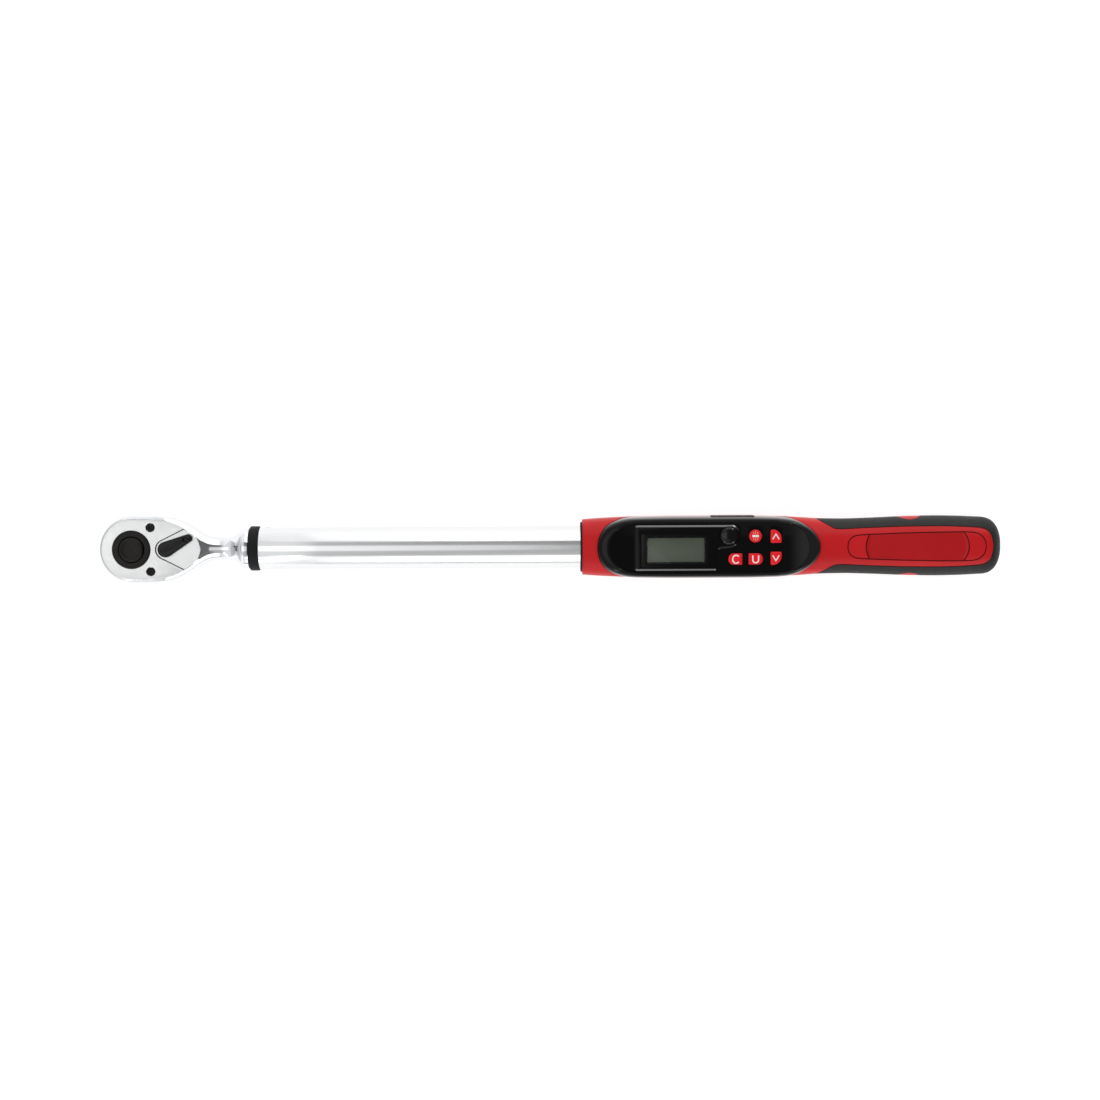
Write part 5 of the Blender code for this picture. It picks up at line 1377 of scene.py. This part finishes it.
px, py = POWER_AT
symbol("power_bar", "power_key", stroke([(px - 1.9, py), (px + 1.9, py)], 1.3))
rays = []
for a in (90, 58, 122, -90, -58, -122):
    c, s = math.cos(math.radians(a)), math.sin(math.radians(a))
    rays.append(stroke([(px + 1.5 * c, py + 1.5 * s), (px + 2.8 * c, py + 2.8 * s)], 0.26))
symbol("power_ray", "power_key", *rays, mat=RAY)
symbol("up_arrow", "up_key", stroke([(380.4, 4.9), (382.3, 8.0), (384.2, 4.9)], 0.62))
symbol("down_arrow", "down_key", stroke([(380.4, -4.6), (382.3, -7.7), (384.2, -4.6)], 0.62))
c_arc = [(358.8 + 2.05 * math.cos(math.radians(a)), -6.8 + 2.35 * math.sin(math.radians(a))) for a in range(42, 319, 12)]
symbol("clear_letter", "clear_key", stroke(c_arc, 0.74))
u_arc = [(368.65, -4.55), (368.65, -7.2)] + [(370.35 + 1.7 * math.cos(math.radians(a)), -7.2 + 1.75 * math.sin(math.radians(a))) for a in range(195, 346, 15)] + [(372.05, -7.2), (372.05, -4.55)]
symbol("unit_letter", "unit_key", stroke(u_arc, 0.74))

# ------------------------------------------------------------------ port flap
flap_profile = [(17.5, 5.8), (18.55, 5.8), (18.85, 5.95), (19.0, 6.3), (19.0, 7.6), (18.98, 9.0), (18.9, 10.5), (18.78, 12.0), (18.65, 13.3), (18.52, 14.3), (18.38, 14.8), (18.15, 14.95), (17.9, 14.95), (17.5, 14.8)]
flap = finish(prism(flap_profile, 344.8, 370.1, "X"), "port_flap_skin", FLAP)
join(flap, box((355.4, 16.3, 12.1), (361.0, 17.9, 13.3)))
cut(flap, *[rod(0.28, 346.5, 368.4, (0, 19.16, z), "X", steps=12) for z in (7.2, 8.1, 9.0)])
use(flap, "port_flap", "black_rubber", "port_cover")

# ------------------------------------------------------------------ battery door and cells
door = finish(half_shell(False, 0.0, x0=440.0), "battery_door_skin", RED)
combine(door, prism(rounded_box(DOOR_X0, DOOR_X1, -DOOR_Y, DOOR_Y, 4.0, 12), -50.0, 0.0), "INTERSECT")
cut(
    door,
    box((440.0, -20.0, -15.6), (459.0, 20.0, 5.0)),
    box((461.0, -20.0, -15.6), (484.0, 20.0, 5.0)),
    box((486.0, -20.0, -15.6), (510.0, 20.0, 5.0)),
    box((440.0, -20.0, -11.6), (510.0, 20.0, 5.0)),
    box((440.0, 8.6, -15.6), (510.0, 20.0, 5.0)),
    box((440.0, -20.0, -15.6), (510.0, -8.6, 5.0)),
    *[rod(0.45, -6.0 + abs(k - 2) * 0.8, 6.0 - abs(k - 2) * 0.8, (488.5 + 1.7 * k, 0, -LOW_H(488.5 + 1.7 * k) - 0.12), "Y", steps=12) for k in range(5)],
)
use(door, "door", "red_plastic", "battery_door")
CELL_Y, CELL_Z, CELL_R = 5.5, -5.6, 5.25
for name, side, back, nub in (("battery_1", 1, 453.8, 498.2), ("battery_2", -1, 492.7, 448.2)):
    d = 1 if nub > back else -1
    body = [(0, back), (4.6, back), (5.1, back + 0.15 * d), (CELL_R, back + 0.5 * d), (CELL_R, nub - 1.5 * d), (5.1, nub - 1.1 * d), (4.7, nub - 0.9 * d), (2.1, nub - 0.9 * d), (1.9, nub - 0.7 * d), (1.9, nub - 0.15 * d), (1.7, nub), (0, nub)]
    use(finish(lathe(body, (0, side * CELL_Y, CELL_Z), "X", 64), name + "_cell", CELL), "wrench", "cell_sleeve", name)

# ------------------------------------------------------------------ finishes for the pieces that stay as they are
CARRIED = {
    STEEL: ("release_spring", "pawl_plunger", "plunger_spring"),
    OXIDE: ("pawl",),
    WHITE: ("sensor_bush", "backlight_panel", "indicator_led"),
    GAUGE: ("strain_gauge_left", "strain_gauge_right"),
    SLEEVE: ("sensor_cable", "battery_lead_black"),
    RED_SLEEVE: ("battery_lead_red",),
    SILICONE: ("lcd_connector_strip", "keypad_mat"),
    BOARD: ("main_board",),
    CHIP: ("controller_chip", "buzzer"),
    NICKEL: ("data_port", "battery_spring_1", "battery_spring_2", "bridge_contact", "positive_contact"),
    TRAY: ("battery_tray",),
}
for mat, names in CARRIED.items():
    for name in names:
        mesh = NODES[name].data
        if not mesh.materials:
            mesh.materials.append(mat)
        for k in range(len(mesh.materials)):
            mesh.materials[k] = mat
